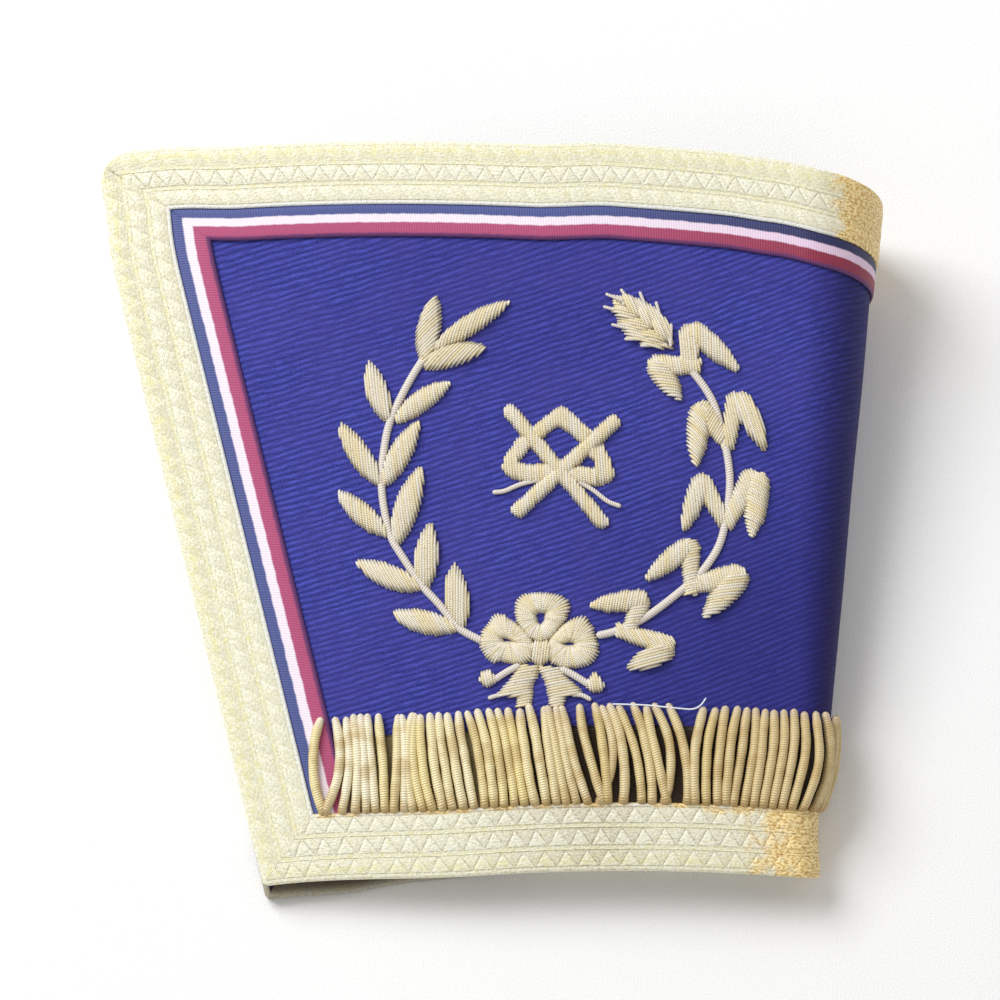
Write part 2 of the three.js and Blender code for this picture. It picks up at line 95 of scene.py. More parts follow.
# The cloth's outer face. Stations go round the ring: 0 to 1 the front, 1 to 2 the bend, 2 to 3 the back.

def lerp(a, b, t):
    return a + (b - a) * t


def smoothstep(x, low=0.0, high=1.0):
    t = np.clip((x - low) / (high - low), 0, 1)
    return t * t * (3 - 2 * t)


def unit(v):
    return v / np.maximum(np.linalg.norm(v, axis=-1, keepdims=True), 1e-12)


def eased(x, places):
    """Value at x between (x, value) places, level at each of them."""
    value = np.full(np.shape(x), float(places[0][1]))
    for (x0, low), (x1, high) in zip(places[:-1], places[1:]):
        value = value + (high - low) * smoothstep(x, x0, x1)
    return value


def rim_point(rim, along):
    along = np.asarray(along, float)
    bend_x = rim["fold_x"] - TRIM - rim["bend_r"]
    top = TRIM + 2 * rim["bend_r"]
    out = 1 - along
    turn = np.pi * (along - 1)
    end_x = rim["end_x"] + rim["back_inset"]
    end_z = rim["end_z"] - 2 * WALL - JOIN
    back_x = lerp(bend_x, end_x, along - 2)
    curl = np.clip(1 - (back_x - end_x) / rim["curl_run"], 0, 1) ** 2
    where = [along <= 1, along <= 2]
    x = np.select(where, [lerp(bend_x, rim["end_x"], out), bend_x + rim["bend_r"] * np.sin(turn)], back_x)
    front_z = top - (top - rim["end_z"]) * out**3
    bend_z = TRIM + rim["bend_r"] * (1 + np.cos(turn))
    z = np.select(where, [front_z, bend_z], TRIM + (end_z - TRIM) * curl)
    sag = rim["arc_r"] - np.sqrt(rim["arc_r"] ** 2 - (x - rim["crown_x"]) ** 2)
    fade = np.where(along <= 2, 1, smoothstep(x - rim["end_x"], 0, SHIFT_FADE))
    behind = smoothstep(along, 1, 2)
    y = rim["crown_y"] - sag + rim["back_shift"] * behind * fade
    y = y + lerp(eased(x, rim["waves"]), eased(x, rim.get("back_waves", rim["waves"])), behind)
    return np.stack([x, y, z], -1)


def cloth(along, up):
    along, up = np.broadcast_arrays(np.asarray(along, float), np.asarray(up, float))
    points = lerp(rim_point(WRIST, along), rim_point(WIDE, along), up[..., None])
    near_end = 1 - smoothstep(np.minimum(along, 3 - along), 0, NIP["reach"])
    points[..., 0] += NIP["depth"] * near_end * np.exp(-(((up - NIP["up"]) / NIP["rise"]) ** 2))
    near_fold = smoothstep(points[..., 0], PINCH["from_x"], PINCH["to_x"])
    points[..., 0] -= PINCH["depth"] * near_fold * np.exp(-(((up - PINCH["up"]) / PINCH["rise"]) ** 2))
    return points


def outward(along, up):
    step = 1e-3
    a = np.clip(along, step, 3 - step)
    around = cloth(a + step, up) - cloth(a - step, up)
    return unit(np.cross(around, rim_point(WIDE, a) - rim_point(WRIST, a)))


def lifted(along, up, lift):
    along, up = np.broadcast_arrays(np.asarray(along, float), np.asarray(up, float))
    return cloth(along, up) + outward(along, up) * np.broadcast_to(lift, along.shape)[..., None]


def slant(along):
    return np.linalg.norm(rim_point(WIDE, along) - rim_point(WRIST, along), axis=-1)


# Lengths round the ring from the front's end, tabled for heights up the arm
TABLE_UPS = np.linspace(-0.04, 1.04, 217)
TABLE_ALONGS = np.linspace(-0.02, 3.02, 1521)
table_points = cloth(TABLE_ALONGS[None, :], TABLE_UPS[:, None])
table_steps = np.linalg.norm(np.diff(table_points, axis=1), axis=-1)
table_lengths = np.pad(np.cumsum(table_steps, axis=1), ((0, 0), (1, 0)))
table_lengths -= np.array([np.interp(0, TABLE_ALONGS, row) for row in table_lengths])[:, None]


def from_table(x, up, xs, ys):
    """Reads y at x from one table row for each height, and blends two rows."""
    x, up = np.broadcast_arrays(np.asarray(x, float), np.asarray(up, float))
    place = (up - TABLE_UPS[0]) / (TABLE_UPS[1] - TABLE_UPS[0])
    row = np.clip(place.astype(int), 0, len(TABLE_UPS) - 2)
    found = np.empty(x.shape)
    for k in np.unique(row):
        mask = row == k
        low = np.interp(x[mask], xs[k], ys[k])
        high = np.interp(x[mask], xs[k + 1], ys[k + 1])
        found[mask] = lerp(low, high, place[mask] - k)
    return found


same_alongs = np.broadcast_to(TABLE_ALONGS, table_lengths.shape)


def length_at(along, up):
    return from_table(along, up, same_alongs, table_lengths)


def station_at(length, up):
    return from_table(length, up, table_lengths, same_alongs)


def whole_length(up):
    return length_at(np.full(np.shape(up), 3.0), up)


def corner_drop(from_end):
    """How far the rounded corner takes the wide rim down, at a length from the cuff's end."""
    inward = CORNER_RADIUS - np.clip(from_end, 0, CORNER_RADIUS)
    return CORNER_RADIUS - np.sqrt(CORNER_RADIUS**2 - inward**2)


def drawn_in(distance, drop):
    """Distance from the edge as the corner takes it in: all of the drop outside, fading further in."""
    return np.where(distance > 0, (np.abs(distance) ** 4 + drop**4) ** 0.25, distance + drop)


def corner_places(aside, above):
    """Where a trim's lines cross the corner's mitre: distances from the cuff's end and from the wide rim."""
    from_end = np.maximum(aside, CORNER_CUT)
    from_rim = np.maximum(above, CORNER_CUT)
    for _ in range(CORNER_ROUNDS):
        next_end = drawn_in(aside, corner_drop(from_rim))
        next_rim = drawn_in(above, corner_drop(from_end))
        from_end, from_rim = (from_end + next_end) / 2, (from_rim + next_rim) / 2
    return from_end, from_rim


def fold_shade_share(along):
    """How far the cloth has turned round the folded side, where its colour is darkened as painted shade."""
    return smoothstep(along, *FOLD_BEGINS) * (1 - smoothstep(along, *FOLD_ENDS))


def station_over(x, y):
    """Station and height of the front's cloth over a place on the plan, by Newton steps."""
    along = np.full(np.shape(x), 0.5)
    up = np.full(np.shape(x), 0.5)
    step = 1e-3
    for _ in range(PLAN_ROUNDS):
        p = cloth(along, up)
        da = (cloth(along + step, up) - p) / step
        du = (cloth(along, up + step) - p) / step
        det = da[..., 0] * du[..., 1] - da[..., 1] * du[..., 0]
        off_x, off_y = x - p[..., 0], y - p[..., 1]
        along = along + (off_x * du[..., 1] - off_y * du[..., 0]) / det
        up = up + (off_y * da[..., 0] - off_x * da[..., 1]) / det
    return along, up


# Meshes. A part is its points, its lists of faces, the lay of each face's corners and its named values.

def make_piece(name, part, materials, node=None, tags=None):
    points, faces, lay, values = part
    mesh = bpy.data.meshes.new(name)
    corners = np.concatenate([f.ravel() for f in faces]).astype(np.int32)
    sizes = np.concatenate([np.full(len(f), f.shape[1]) for f in faces])
    starts = np.concatenate([[0], np.cumsum(sizes)[:-1]]).astype(np.int32)
    points = np.concatenate([points[:, :2], np.maximum(points[:, 2:], FLOOR_GAP)], axis=1)
    mesh.vertices.add(len(points))
    mesh.vertices.foreach_set("co", ((points + SHIFT) * MM).astype(np.float32).ravel())
    mesh.loops.add(len(corners))
    mesh.loops.foreach_set("vertex_index", corners)
    mesh.polygons.add(len(sizes))
    mesh.polygons.foreach_set("loop_start", starts)
    mesh.update(calc_edges=True)
    if tags is not None:
        mesh.polygons.foreach_set("material_index", np.asarray(tags, np.int32))
    mesh.polygons.foreach_set("use_smooth", np.ones(len(sizes), bool))
    mesh.uv_layers.new(name="lay").data.foreach_set("uv", lay.astype(np.float32).ravel())
    for key, value in values.items():
        mesh.attributes.new(key, "FLOAT", "POINT").data.foreach_set("value", value.astype(np.float32))
    for material in materials:
        mesh.materials.append(material)
    mesh.validate()
    piece = bpy.data.objects.new(name, mesh)
    bpy.context.scene.collection.objects.link(piece)
    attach(piece, BODY)
    if node:
        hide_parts(node)
    return piece


def grid_quads(rows, columns, start=0, loop=False):
    """Quads of a grid of points; with loop, each row closes on itself."""
    index = start + np.arange(rows * columns).reshape(rows, columns)
    if loop:
        index = np.concatenate([index, index[:, :1]], axis=1)
    quads = np.stack([index[:-1, :-1], index[1:, :-1], index[1:, 1:], index[:-1, 1:]], -1)
    return quads.reshape(-1, 4)


def fan(ring, flip):
    """Triangles that close a ring of point numbers."""
    first = np.full(len(ring) - 2, ring[0])
    triangles = np.stack([first, ring[1:-1], ring[2:]], -1)
    return triangles[:, ::-1] if flip else triangles


def bar(shape, u, v, values, flip=False):
    """Part for a closed section swept along rows, capped at both ends."""
    rows, columns = shape.shape[:2]
    index = np.arange(rows * columns).reshape(rows, columns)
    caps = np.concatenate([fan(index[0], True), fan(index[-1], False)])
    faces = [grid_quads(rows, columns, loop=True), caps]
    faces = [f[:, ::-1] for f in faces] if flip else faces
    lay = np.stack(np.broadcast_arrays(u, v), -1).reshape(-1, 2)
    lay = np.concatenate([lay[f.ravel()] for f in faces])
    return shape.reshape(-1, 3), faces, lay, {key: np.ravel(value) for key, value in values.items()}


def tubes(paths, radii, ups, sides, values, flat=1.0):
    """Part for closed tubes along paths (tube, step, xyz), with radii for each step or each step and side."""
    count, steps = paths.shape[:2]
    tangent = unit(np.gradient(paths, axis=1))
    side = unit(np.cross(tangent, ups))
    rise = np.cross(side, tangent)
    turn = 2 * np.pi * np.arange(sides) / sides
    flat = np.broadcast_to(flat, (count, steps))[:, :, None, None]
    ring = np.cos(turn)[:, None] * side[:, :, None, :] + np.sin(turn)[:, None] * rise[:, :, None, :] * flat
    points = paths[:, :, None, :] + radii.reshape(count, steps, -1, 1) * ring
    index = np.arange(count * steps * sides).reshape(count, steps, sides)
    a, d = index[:, :-1], index[:, 1:]
    b, c = np.roll(a, -1, axis=2), np.roll(d, -1, axis=2)
    quads = np.stack([a, d, c, b], -1).reshape(-1, 4)
    caps = np.concatenate([fan(ends, k < 0) for k in (0, -1) for ends in index[:, k]])
    gone = np.linalg.norm(np.diff(paths, axis=1), axis=-1)
    run = np.pad(np.cumsum(gone, axis=1), ((0, 0), (1, 0)))
    u = np.broadcast_to(run[:, :, None], (count, steps, sides))
    v = np.broadcast_to(np.arange(sides) / sides, (count, steps, sides))
    v_next = v + 1 / sides
    corner_u = np.stack([u[:, :-1], u[:, 1:], u[:, 1:], u[:, :-1]], -1)
    corner_v = np.stack([v[:, :-1], v[:, 1:], v_next[:, 1:], v_next[:, :-1]], -1)
    quad_lay = np.stack([corner_u, corner_v], -1).reshape(-1, 2)
    cap_lay = np.stack([u.ravel()[caps.ravel()], v.ravel()[caps.ravel()]], -1)
    values = {key: np.repeat(np.broadcast_to(value, (count, steps)), sides) for key, value in values.items()}
    return points.reshape(-1, 3), [quads, caps], np.concatenate([quad_lay, cap_lay]), values


def merged(parts):
    """Joins several parts into one."""
    points, faces, lays, values = zip(*parts)
    starts = np.cumsum([0] + [len(p) for p in points[:-1]])
    quads = [f[0] + start for f, start in zip(faces, starts)]
    triangles = [f[1] + start for f, start in zip(faces, starts)]
    quad_lays = [lay[:f[0].size] for f, lay in zip(faces, lays)]
    triangle_lays = [lay[f[0].size:] for f, lay in zip(faces, lays)]
    return (
        np.concatenate(points),
        [np.concatenate(quads), np.concatenate(triangles)],
        np.concatenate(quad_lays + triangle_lays),
        {key: np.concatenate([value[key] for value in values]) for key in values[0]},
    )


# Colours

SILK_DARK = (0.014, 0.014, 0.125)
SILK_LIGHT = (0.078, 0.092, 0.50)
SILK_DULL = (0.030, 0.026, 0.20)
SILK_VIOLET = (0.062, 0.050, 0.29)
SILK_FOLD_SHADE = (0.012, 0.008, 0.04)
BRAID_WARM = (0.90, 0.86, 0.68)
BRAID_COOL = (0.88, 0.88, 0.72)
BRAID_SHADE = (0.60, 0.57, 0.38)
BRAID_BRIGHT = (0.93, 0.92, 0.82)
BRAID_YELLOW = (0.80, 0.75, 0.38)
BRAID_LINE = (0.48, 0.45, 0.31)
BRAID_SELVEDGE = (0.80, 0.82, 0.84)
BRAID_DULL = (0.30, 0.22, 0.12)
BRAID_UNDER_SHADOW = (0.06, 0.035, 0.025)
GOLD_DARK = (0.64, 0.38, 0.10)
GOLD_LIGHT = (1.0, 0.80, 0.38)
NAVY = (0.058, 0.082, 0.27)
WHITE = (0.90, 0.80, 0.90)
RED = (0.44, 0.065, 0.17)
PLUM = (0.13, 0.03, 0.14)
NAVY_FOLD_SHADE = (0.014, 0.018, 0.09)
WHITE_FOLD_SHADE = (0.78, 0.59, 0.76)
RED_FOLD_SHADE = (0.27, 0.02, 0.055)
STRIPE_EDGES = [0.0, 1.9, 2.25, 3.95, 4.3, 6.5, 7.0]  # where each stripe starts and ends across the ribbon
BULLION_YELLOW = (0.88, 0.74, 0.35)
BULLION_PALE = (1.0, 0.93, 0.71)
BULLION_WORN = (0.62, 0.46, 0.20)
BULLION_FOOT = (0.52, 0.36, 0.15)
BULLION_GROOVE_SHADE = (0.52, 0.37, 0.16)
BULLION_DARKENED = (0.50, 0.33, 0.13)
BULLION_TIP_HIGHLIGHT = (0.92, 0.86, 0.82)
BULLION_GAP_SHADE = (0.03, 0.016, 0.008)
THREAD_YELLOW = (0.95, 0.83, 0.52)
THREAD_PALE = (0.97, 0.92, 0.80)
THREAD_DARK = (0.60, 0.44, 0.23)
CORD_DARK = (0.56, 0.49, 0.42)
CORD_PALE = (0.82, 0.76, 0.70)
TAPE_DARK = (0.012, 0.012, 0.03)
TAPE_LIGHT = (0.05, 0.05, 0.09)
THREAD_WHITE = (0.93, 0.95, 1.0)
THREAD_GREY = (0.70, 0.74, 0.82)
FLOOR_GREY = (0.90, 0.90, 0.90)
FLOOR_WHITE = (0.93, 0.93, 0.93)


# Materials

class Signal:
    """A node's output, with arithmetic that adds nodes."""

    def __init__(self, look, socket):
        self.look = look
        self.socket = socket

    def __add__(self, other):
        return self.look.math("ADD", self, other)

    def __sub__(self, other):
        return self.look.math("SUBTRACT", self, other)

    def __rsub__(self, other):
        return self.look.math("SUBTRACT", other, self)

    def __mul__(self, other):
        return self.look.math("MULTIPLY", self, other)

    def __truediv__(self, other):
        return self.look.math("DIVIDE", self, other)

    def __abs__(self):
        return self.look.math("ABSOLUTE", self)

    __radd__ = __add__
    __rmul__ = __mul__


class Look:
    """One material's nodes."""

    def __init__(self, name, **shader):
        self.material = bpy.data.materials.new(name)
        self.material.use_nodes = True
        self.tree = self.material.node_tree
        self.shader = self.tree.nodes["Principled BSDF"]
        for key, value in shader.items():
            self.set(self.shader, key.replace("_", " ").title(), value)

    def set(self, node, key, value):
        socket = node.inputs[key]
        if isinstance(value, Signal):
            self.tree.links.new(value.socket, socket)
        elif isinstance(value, tuple) and socket.type == "RGBA":
            socket.default_value = (*value, 1)
        else:
            socket.default_value = value

    def add(self, kind, output, inputs=None, **settings):
        node = self.tree.nodes.new("ShaderNode" + kind)
        for key, value in settings.items():
            setattr(node, key, value)
        for key, value in (inputs or {}).items():
            self.set(node, key, value)
        return Signal(self, node.outputs[output])

    def math(self, operation, a, b=0.0):
        return self.add("Math", 0, {0: a, 1: b}, operation=operation)

    def mix(self, factor, a, b):
        return self.add("Mix", 2, {0: factor, 6: a, 7: b}, data_type="RGBA")

    def coats(self, color, rows):
        """Lays colours over a colour in turn. Columns: how much of it, colour."""
        for share, coat in rows:
            color = self.mix(share, color, coat)
        return color

    def span(self, value, low, high, to_low=0.0, to_high=1.0):
        inputs = {0: value, 1: low, 2: high, 3: to_low, 4: to_high}
        return self.add("MapRange", 0, inputs, interpolation_type="SMOOTHSTEP")

    def value(self, name):
        return self.add("Attribute", "Fac", attribute_name=name)

    def lay(self):
        """Millimetres along a trim and across it, or along a tube and its turns round it."""
        uv = self.add("UVMap", 0, uv_map="lay")
        return [self.add("SeparateXYZ", axis, {0: uv}) for axis in (0, 1)]

    def grain(self, along, across, detail=2.0):
        """Noise over the lay, with how many blots a unit along and across it."""
        uv = self.add("UVMap", 0, uv_map="lay")
        mapped = self.add("Mapping", 0, {"Vector": uv, "Scale": (along, across, 1)})
        return self.add("TexNoise", 0, {"Vector": mapped, "Scale": 1.0, "Detail": detail})

    def cloud(self, scale):
        """Noise in space, with how many blots a metre."""
        place = self.add("TexCoord", "Object")
        return self.add("TexNoise", 0, {"Vector": place, "Scale": scale, "Detail": 2.0})

    def cosine(self, turns):
        return self.math("COSINE", turns * (2 * math.pi))

    def coil(self, pitch, threads=1.0):
        """Height of threads wound round a tube."""
        u, v = self.lay()
        return self.cosine((u / pitch + v) * threads)

    def hump(self, value, middle, width):
        """1 at the middle, 0 a width away on either side."""
        return self.span(abs(value - middle), width, 0.0)

    def stripes(self, place, colors):
        """Three stripes and a plum edge, at places across the ribbon."""
        colors = [color for color in colors for _ in range(2)] + [PLUM]
        ramp = self.add("ValToRGB", 0, {0: place})
        elements = ramp.socket.node.color_ramp.elements
        for i, (edge, color) in enumerate(zip(STRIPE_EDGES, colors)):
            element = elements[i] if i < 2 else elements.new(edge / RIBBON_WIDTH)
            element.position = edge / RIBBON_WIDTH
            element.color = (*color, 1)
        return ramp

    def finish(self, color, height, depth):
        """Gives the shader its colour and a relief of this depth in metres."""
        self.set(self.shader, "Base Color", color)
        self.set(self.shader, "Normal", self.add("Bump", 0, {"Height": height, "Distance": depth}))
        return self.material


def silk_look():
    look = Look("blue_faille", metallic=0.0, roughness=0.6)
    look.set(look.shader, "Specular IOR Level", 0.12)
    streak = look.grain(0.4, 1.3)
    fine = look.grain(3.2, 5.0)
    # painted shade and highlight: the rib valleys darker and the ridges lighter, mixed with the silk's own
    # streaky tone
    ridge = look.cosine(look.lay()[1] + look.grain(0.12, 0.35) * 1.1)
    relief = ridge * look.span(streak, 0.35, 0.65, 0.14, 0.44)
    tone = relief + (streak - 0.5) * 0.7 + (fine - 0.5) * 1.7
    color = look.mix(look.span(tone, -0.75, 0.75), SILK_DARK, SILK_LIGHT)
    color = look.coats(color, [
        (look.span(look.cloud(18.0), 0.35, 0.7, 0.0, 0.3), SILK_DULL),
        (look.span(look.cloud(90.0), 0.35, 0.65, 0.0, 0.3), SILK_VIOLET),
        # painted shade towards the lower right
        (look.value("falloff_shade"), SILK_DARK),
        # painted shade: the silk darker round the folded side
        (look.value("fold") * 0.64, SILK_FOLD_SHADE),
    ])
    return look.finish(color, relief + fine * 0.5, 0.00013)


def woven_look(name, dark, light):
    look = Look(name, metallic=0.0, roughness=0.85)
    weave = look.cloud(2200.0)
    return look.finish(look.mix(weave, dark, light), weave, 0.00012)


def braid_weave(look, u, v):
    """Dark lines of the zigzags and of the lanes' borders, and the darker triangles on one side of them."""
    nearest, darker = 9.0, 0.0
    for lane in LANES:
        width = lane["to"] - lane["from"]
        t = (v - lane["from"]) / width
        peaks = look.math("PINGPONG", u / ZIGZAG + lane["phase"], 0.5) * 2.0
        off = abs(t - peaks) * (width / math.hypot(1, 2 * width / ZIGZAG))
        middle = abs(t - 0.5)
        border = abs((middle - 0.5) * width)
        beyond = look.math("GREATER_THAN", middle, 0.54)
        nearest = look.math("MINIMUM", nearest, look.math("MINIMUM", off + 0.06, border) + beyond * 9.0)
        darker = darker + look.math("GREATER_THAN", t, peaks) * (1.0 - beyond)
    clear = look.value("clear")
    faded = (1.0 - clear) * FAINT + look.grain(0.5, 0.6) * 0.26
    return look.span(nearest + faded, 0.4, 0.1), darker * look.span(clear, -1.0, 0.0)


def braid_look():
    look = Look("gold_braid", metallic=0.05, roughness=0.5)
    u, v = look.lay()
    line, darker = braid_weave(look, u, v)
    thread = look.grain(1.3, 2.4)
    fleck = look.grain(1.8, 1.9)
    patch = look.grain(0.22, 0.3, 3.0)
    blotch = look.grain(0.6, 0.9)
    faint = 1.0 - look.math("MAXIMUM", look.value("clear"), 0.0)
    gold = look.value("gold")
    bands = look.hump(v, 4.3, 1.1) + look.hump(v, 8.8, 1.1) + look.hump(v, 1.6, 2.2)
    uneven = gold + (patch - 0.5) * look.span(gold, 0.0, 0.3, 0.0, 2.6)
    golden = look.mix(look.span(thread, 0.4, 0.57), GOLD_DARK, GOLD_LIGHT)
    dirt_and_shade = line * 1.4 + darker * 0.7 + look.span(thread, 0.6, 0.4, 0.1, 0.7)
    color = look.mix(look.span(patch, 0.38, 0.62), BRAID_WARM, BRAID_COOL)
    color = look.coats(color, [
        (look.span(thread, 0.56, 0.38, 0.0, 0.6), BRAID_SHADE),
        (look.span(fleck, 0.52, 0.66, 0.0, 0.85), BRAID_BRIGHT),
        ((faint * 0.22 + bands * 0.6) * look.span(blotch, 0.4, 0.62, 0.25, 1.0), BRAID_YELLOW),
        (look.span(blotch, 0.58, 0.72, 0.0, 0.4), BRAID_YELLOW),
        (darker * look.span(faint, 0.0, 1.0, 0.2, 0.3), BRAID_SHADE),
        (line * look.span(fleck, 0.35, 0.58, 0.75, 0.15), BRAID_LINE),
        (look.span(v, 12.5, 13.0, 0.0, 0.7) * (1.0 - gold), BRAID_SELVEDGE),
        # gold round the fold: partly the braid's real tarnish, partly painted shade
        (look.span(uneven, 0.1, 0.75, 0.0, 0.95), golden),
        # real grime on the wrist braid, painted shade on the end braids and the wide rim's left end
        (dirt_and_shade * look.value("dull"), BRAID_DULL),
        # painted shadow under the front's edge
        (look.value("shade"), BRAID_UNDER_SHADOW),
    ])
    return look.finish(color, thread + fleck - line * 0.8, 0.00014)


def ribbon_look():
    look = Look("striped_ribbon", metallic=0.0, roughness=0.55, sheen_weight=0.05)
    u, v = look.lay()
    place = (v + (look.grain(0.5, 0.2) - 0.5) * 0.5) / RIBBON_WIDTH
    own_stripes = look.stripes(place, [NAVY, WHITE, RED])
    fold_shaded_stripes = look.stripes(place, [NAVY_FOLD_SHADE, WHITE_FOLD_SHADE, RED_FOLD_SHADE])
    seam = look.span(look.cosine(u / 1.3), 0.1, 0.6) * look.span(v, 6.8, 7.1)
    rib = look.cosine(u / 0.55)
    grain = look.grain(3.0, 3.0)
    # painted shade: the stripes darken towards and round the folded side
    color = look.coats(look.mix(look.value("fold"), own_stripes, fold_shaded_stripes), [
        (seam * 0.5, PLUM),
        (look.span(rib * 0.015 + grain * 0.5, 0.1, 0.3, 0.1, 0.0), PLUM),
    ])
    return look.finish(color, rib + grain, 0.00002)


def bullion_look():
    look = Look("bullion", metallic=0.08, roughness=0.42)
    coil = look.coil(COIL_PITCH)
    sewn = look.value("foot") * look.span(look.cloud(420.0), 0.3, 0.6, 0.4, 1.0)
    color = look.mix(look.value("tone"), BULLION_YELLOW, BULLION_PALE)
    color = look.coats(color, [
        (sewn, BULLION_FOOT),
        (look.span(look.cloud(220.0), 0.44, 0.66, 0.0, 0.65), BULLION_WORN),
        # painted highlight: the strands' tips paler
        (look.value("tip") * 0.5, BULLION_TIP_HIGHLIGHT),
        # painted shade in the coil's grooves
        (look.span(coil, 0.3, -1.0, 0.0, 0.14), BULLION_GROOVE_SHADE),
        # painted shade round the fold; the strands are also darker towards the front's right end
        (look.value("fold") * 0.45, BULLION_DARKENED),
        # painted shade: the near-black band shows in the gaps between strands
        (look.value("gap_shade"), BULLION_GAP_SHADE),
    ])
    return look.finish(color, coil, 0.00006)


def stitch_look():
    look = Look("metal_thread", metallic=0.05, roughness=0.45)
    coil = look.coil(0.34)
    fleck = look.cloud(1900.0)
    color = look.mix(look.value("tone"), THREAD_YELLOW, THREAD_PALE)
    color = look.coats(color, [
        (look.span(fleck, 0.42, 0.28, 0.0, 0.6), THREAD_DARK),
        # painted shade in the coil's grooves; the flecks above are the thread's own dark dots
        (look.span(coil, 0.0, -1.0, 0.0, 0.2), THREAD_DARK),
    ])
    return look.finish(color, coil + fleck, 0.00006)


def cord_look():
    look = Look("twisted_thread", metallic=0.0, roughness=0.45)
    coil = look.coil(CORD_TWIST, 2.0)
    # painted shade in the twist's grooves and painted highlight on its ridges
    return look.finish(look.mix(look.span(coil, -1.0, 0.2), CORD_DARK, CORD_PALE), coil, 0.00004)


# Wall of ribbed silk over a stiff interlining

RIB_PITCH = 1.27
RIB_RISE = 0.309  # slope of the ribs in the middle of the front
RIB_BEND = 0.0006  # how much steeper they get for each millimetre to the right
RIB_EASE = 0.0004  # how much closer they lie towards the wrist
WALL_COLUMNS = 240
WALL_ROWS = 100
SLACK = 0.09  # how far the silk swells and sinks
SLACK_FROM_EDGE = (12, 30)
# painted shade: the silk's colour darkens towards the lower right, standing in for the light falling off there
FALLOFF_SHADE = {"share": 0.5, "right": (5, 62), "down": (-35, 35)}  # the silk darkens to the lower right


def unrolled(along, up):
    """Place on the cloth rolled out flat: the plan on the front, then on round the bend and the back."""
    p = cloth(along, up)
    past = length_at(along, up) - length_at(np.ones(np.shape(along)), up)
    corner = cloth(np.ones(np.shape(along)), up)[..., 0]
    return np.where(along <= 1, p[..., 0], corner + past), p[..., 1]


def rib_lay(along, up):
    x, y = unrolled(along, up)
    across = y - RIB_RISE * x - RIB_BEND * x * x
    return np.stack([x, across / RIB_PITCH * (1 - RIB_EASE * across)], -1)


def wall_sheet():
    ends = CORNER_RADIUS * (1 - np.cos(np.linspace(0, np.pi / 2, 9)))
    length = whole_length(1.0)
    body = np.linspace(CORNER_RADIUS, length - CORNER_RADIUS, WALL_COLUMNS)
    from_front = np.concatenate([ends[:-1], body, length - ends[::-1][1:]])
    along = np.clip(station_at(from_front, 1.0), 0, 3)
    drop = corner_drop(np.minimum(from_front, length - from_front))
    up = np.linspace(0, 1, WALL_ROWS)[None, :] * (1 - drop / slant(along))[:, None]
    along = np.broadcast_to(along[:, None], up.shape)
    x, y = unrolled(along, up)
    edge = np.minimum(up, 1 - up) * slant(along)
    wave = np.sin(x / 13 + y / 19) * np.sin(y / 11 - x / 31 + 1.3) + 0.5 * np.sin(x / 7.3 - y / 8.1)
    outer = lifted(along, up, SLACK * wave * smoothstep(edge, *SLACK_FROM_EDGE))
    inner = lifted(along, up, -WALL)
    columns, count = up.shape
    points = np.concatenate([outer.reshape(-1, 3), inner.reshape(-1, 3)])
    index = np.arange(columns * count).reshape(columns, count)
    under = index + columns * count
    front = grid_quads(columns, count)
    back = grid_quads(columns, count, columns * count)[:, ::-1]
    edges = [(index[:, 0], under[:, 0]), (under[:, -1], index[:, -1])]
    edges += [(under[0], index[0]), (index[-1], under[-1])]
    rims = np.concatenate([np.stack([a[:-1], b[:-1], b[1:], a[1:]], -1) for a, b in edges])
    faces = np.concatenate([front, back, rims])
    tags = np.arange(len(faces)) >= len(front)
    lay = np.tile(rib_lay(along, up).reshape(-1, 2), (2, 1))[faces.ravel()]
    falloff_shade = FALLOFF_SHADE["share"] * smoothstep(x, *FALLOFF_SHADE["right"]) * smoothstep(-y, *FALLOFF_SHADE["down"])
    values = {"fold": np.tile(fold_shade_share(along).ravel(), 2), "falloff_shade": np.tile(falloff_shade.ravel(), 2)}
    looks = [silk_look(), woven_look("plain_inside", TAPE_DARK, TAPE_LIGHT)]
    return make_piece("silk_wall", (points, [faces], lay, values), looks, "cuff_wall", tags)


# Braid, woven in three lanes of zigzag between cord lines

MITRE_GAP = -0.18
MITRE_RUN = 24
BRAID_STEP = 0.3
ZIGZAG = 4.4
LANES = [
    {"from": 0.5, "to": 3.8, "phase": 0.0},
    {"from": 4.75, "to": 8.35, "phase": 0.28},
    {"from": 9.3, "to": 12.6, "phase": 0.62},
]
LANE_DOME = 0.17
FAINT = 0.26  # how far a faint zigzag's lines fade
GROOVE = {"depth": 0.1, "width": 0.28}
BORDER = {"height": 0.14, "width": 0.26, "at": (3.95, 4.6, 8.5, 9.15)}
SELVEDGE = {"height": 0.09, "width": 0.3, "at": 13.05}

# Where gold (tarnish with painted shade), the tinge and painted shadow under the front's edge set in or fade:
# by station, height up the arm or place across the braid
GOLD_ROUND_FOLD = (-0.09, 0.13)
GOLD_GONE = (1.7, 2.0)
TINGE_ALONG = (0.78, 0.88)
TINGE_LANE = (10, 13)
TINGE_EDGE = (12.2, 12.9)
UNDER_SHADOW_ALONG = (2.4, 2.6)
UNDER_SHADOW_GONE = (0.06, 0.1)
UNDER_SHADOW_NOSE = (0.3, 1.5)
HIDDEN = -3.0  # off the face, where no zigzag is drawn


def zigzag(turns):
    part = turns % 1
    return np.where(part < 0.5, 2 * part, 2 - 2 * part)


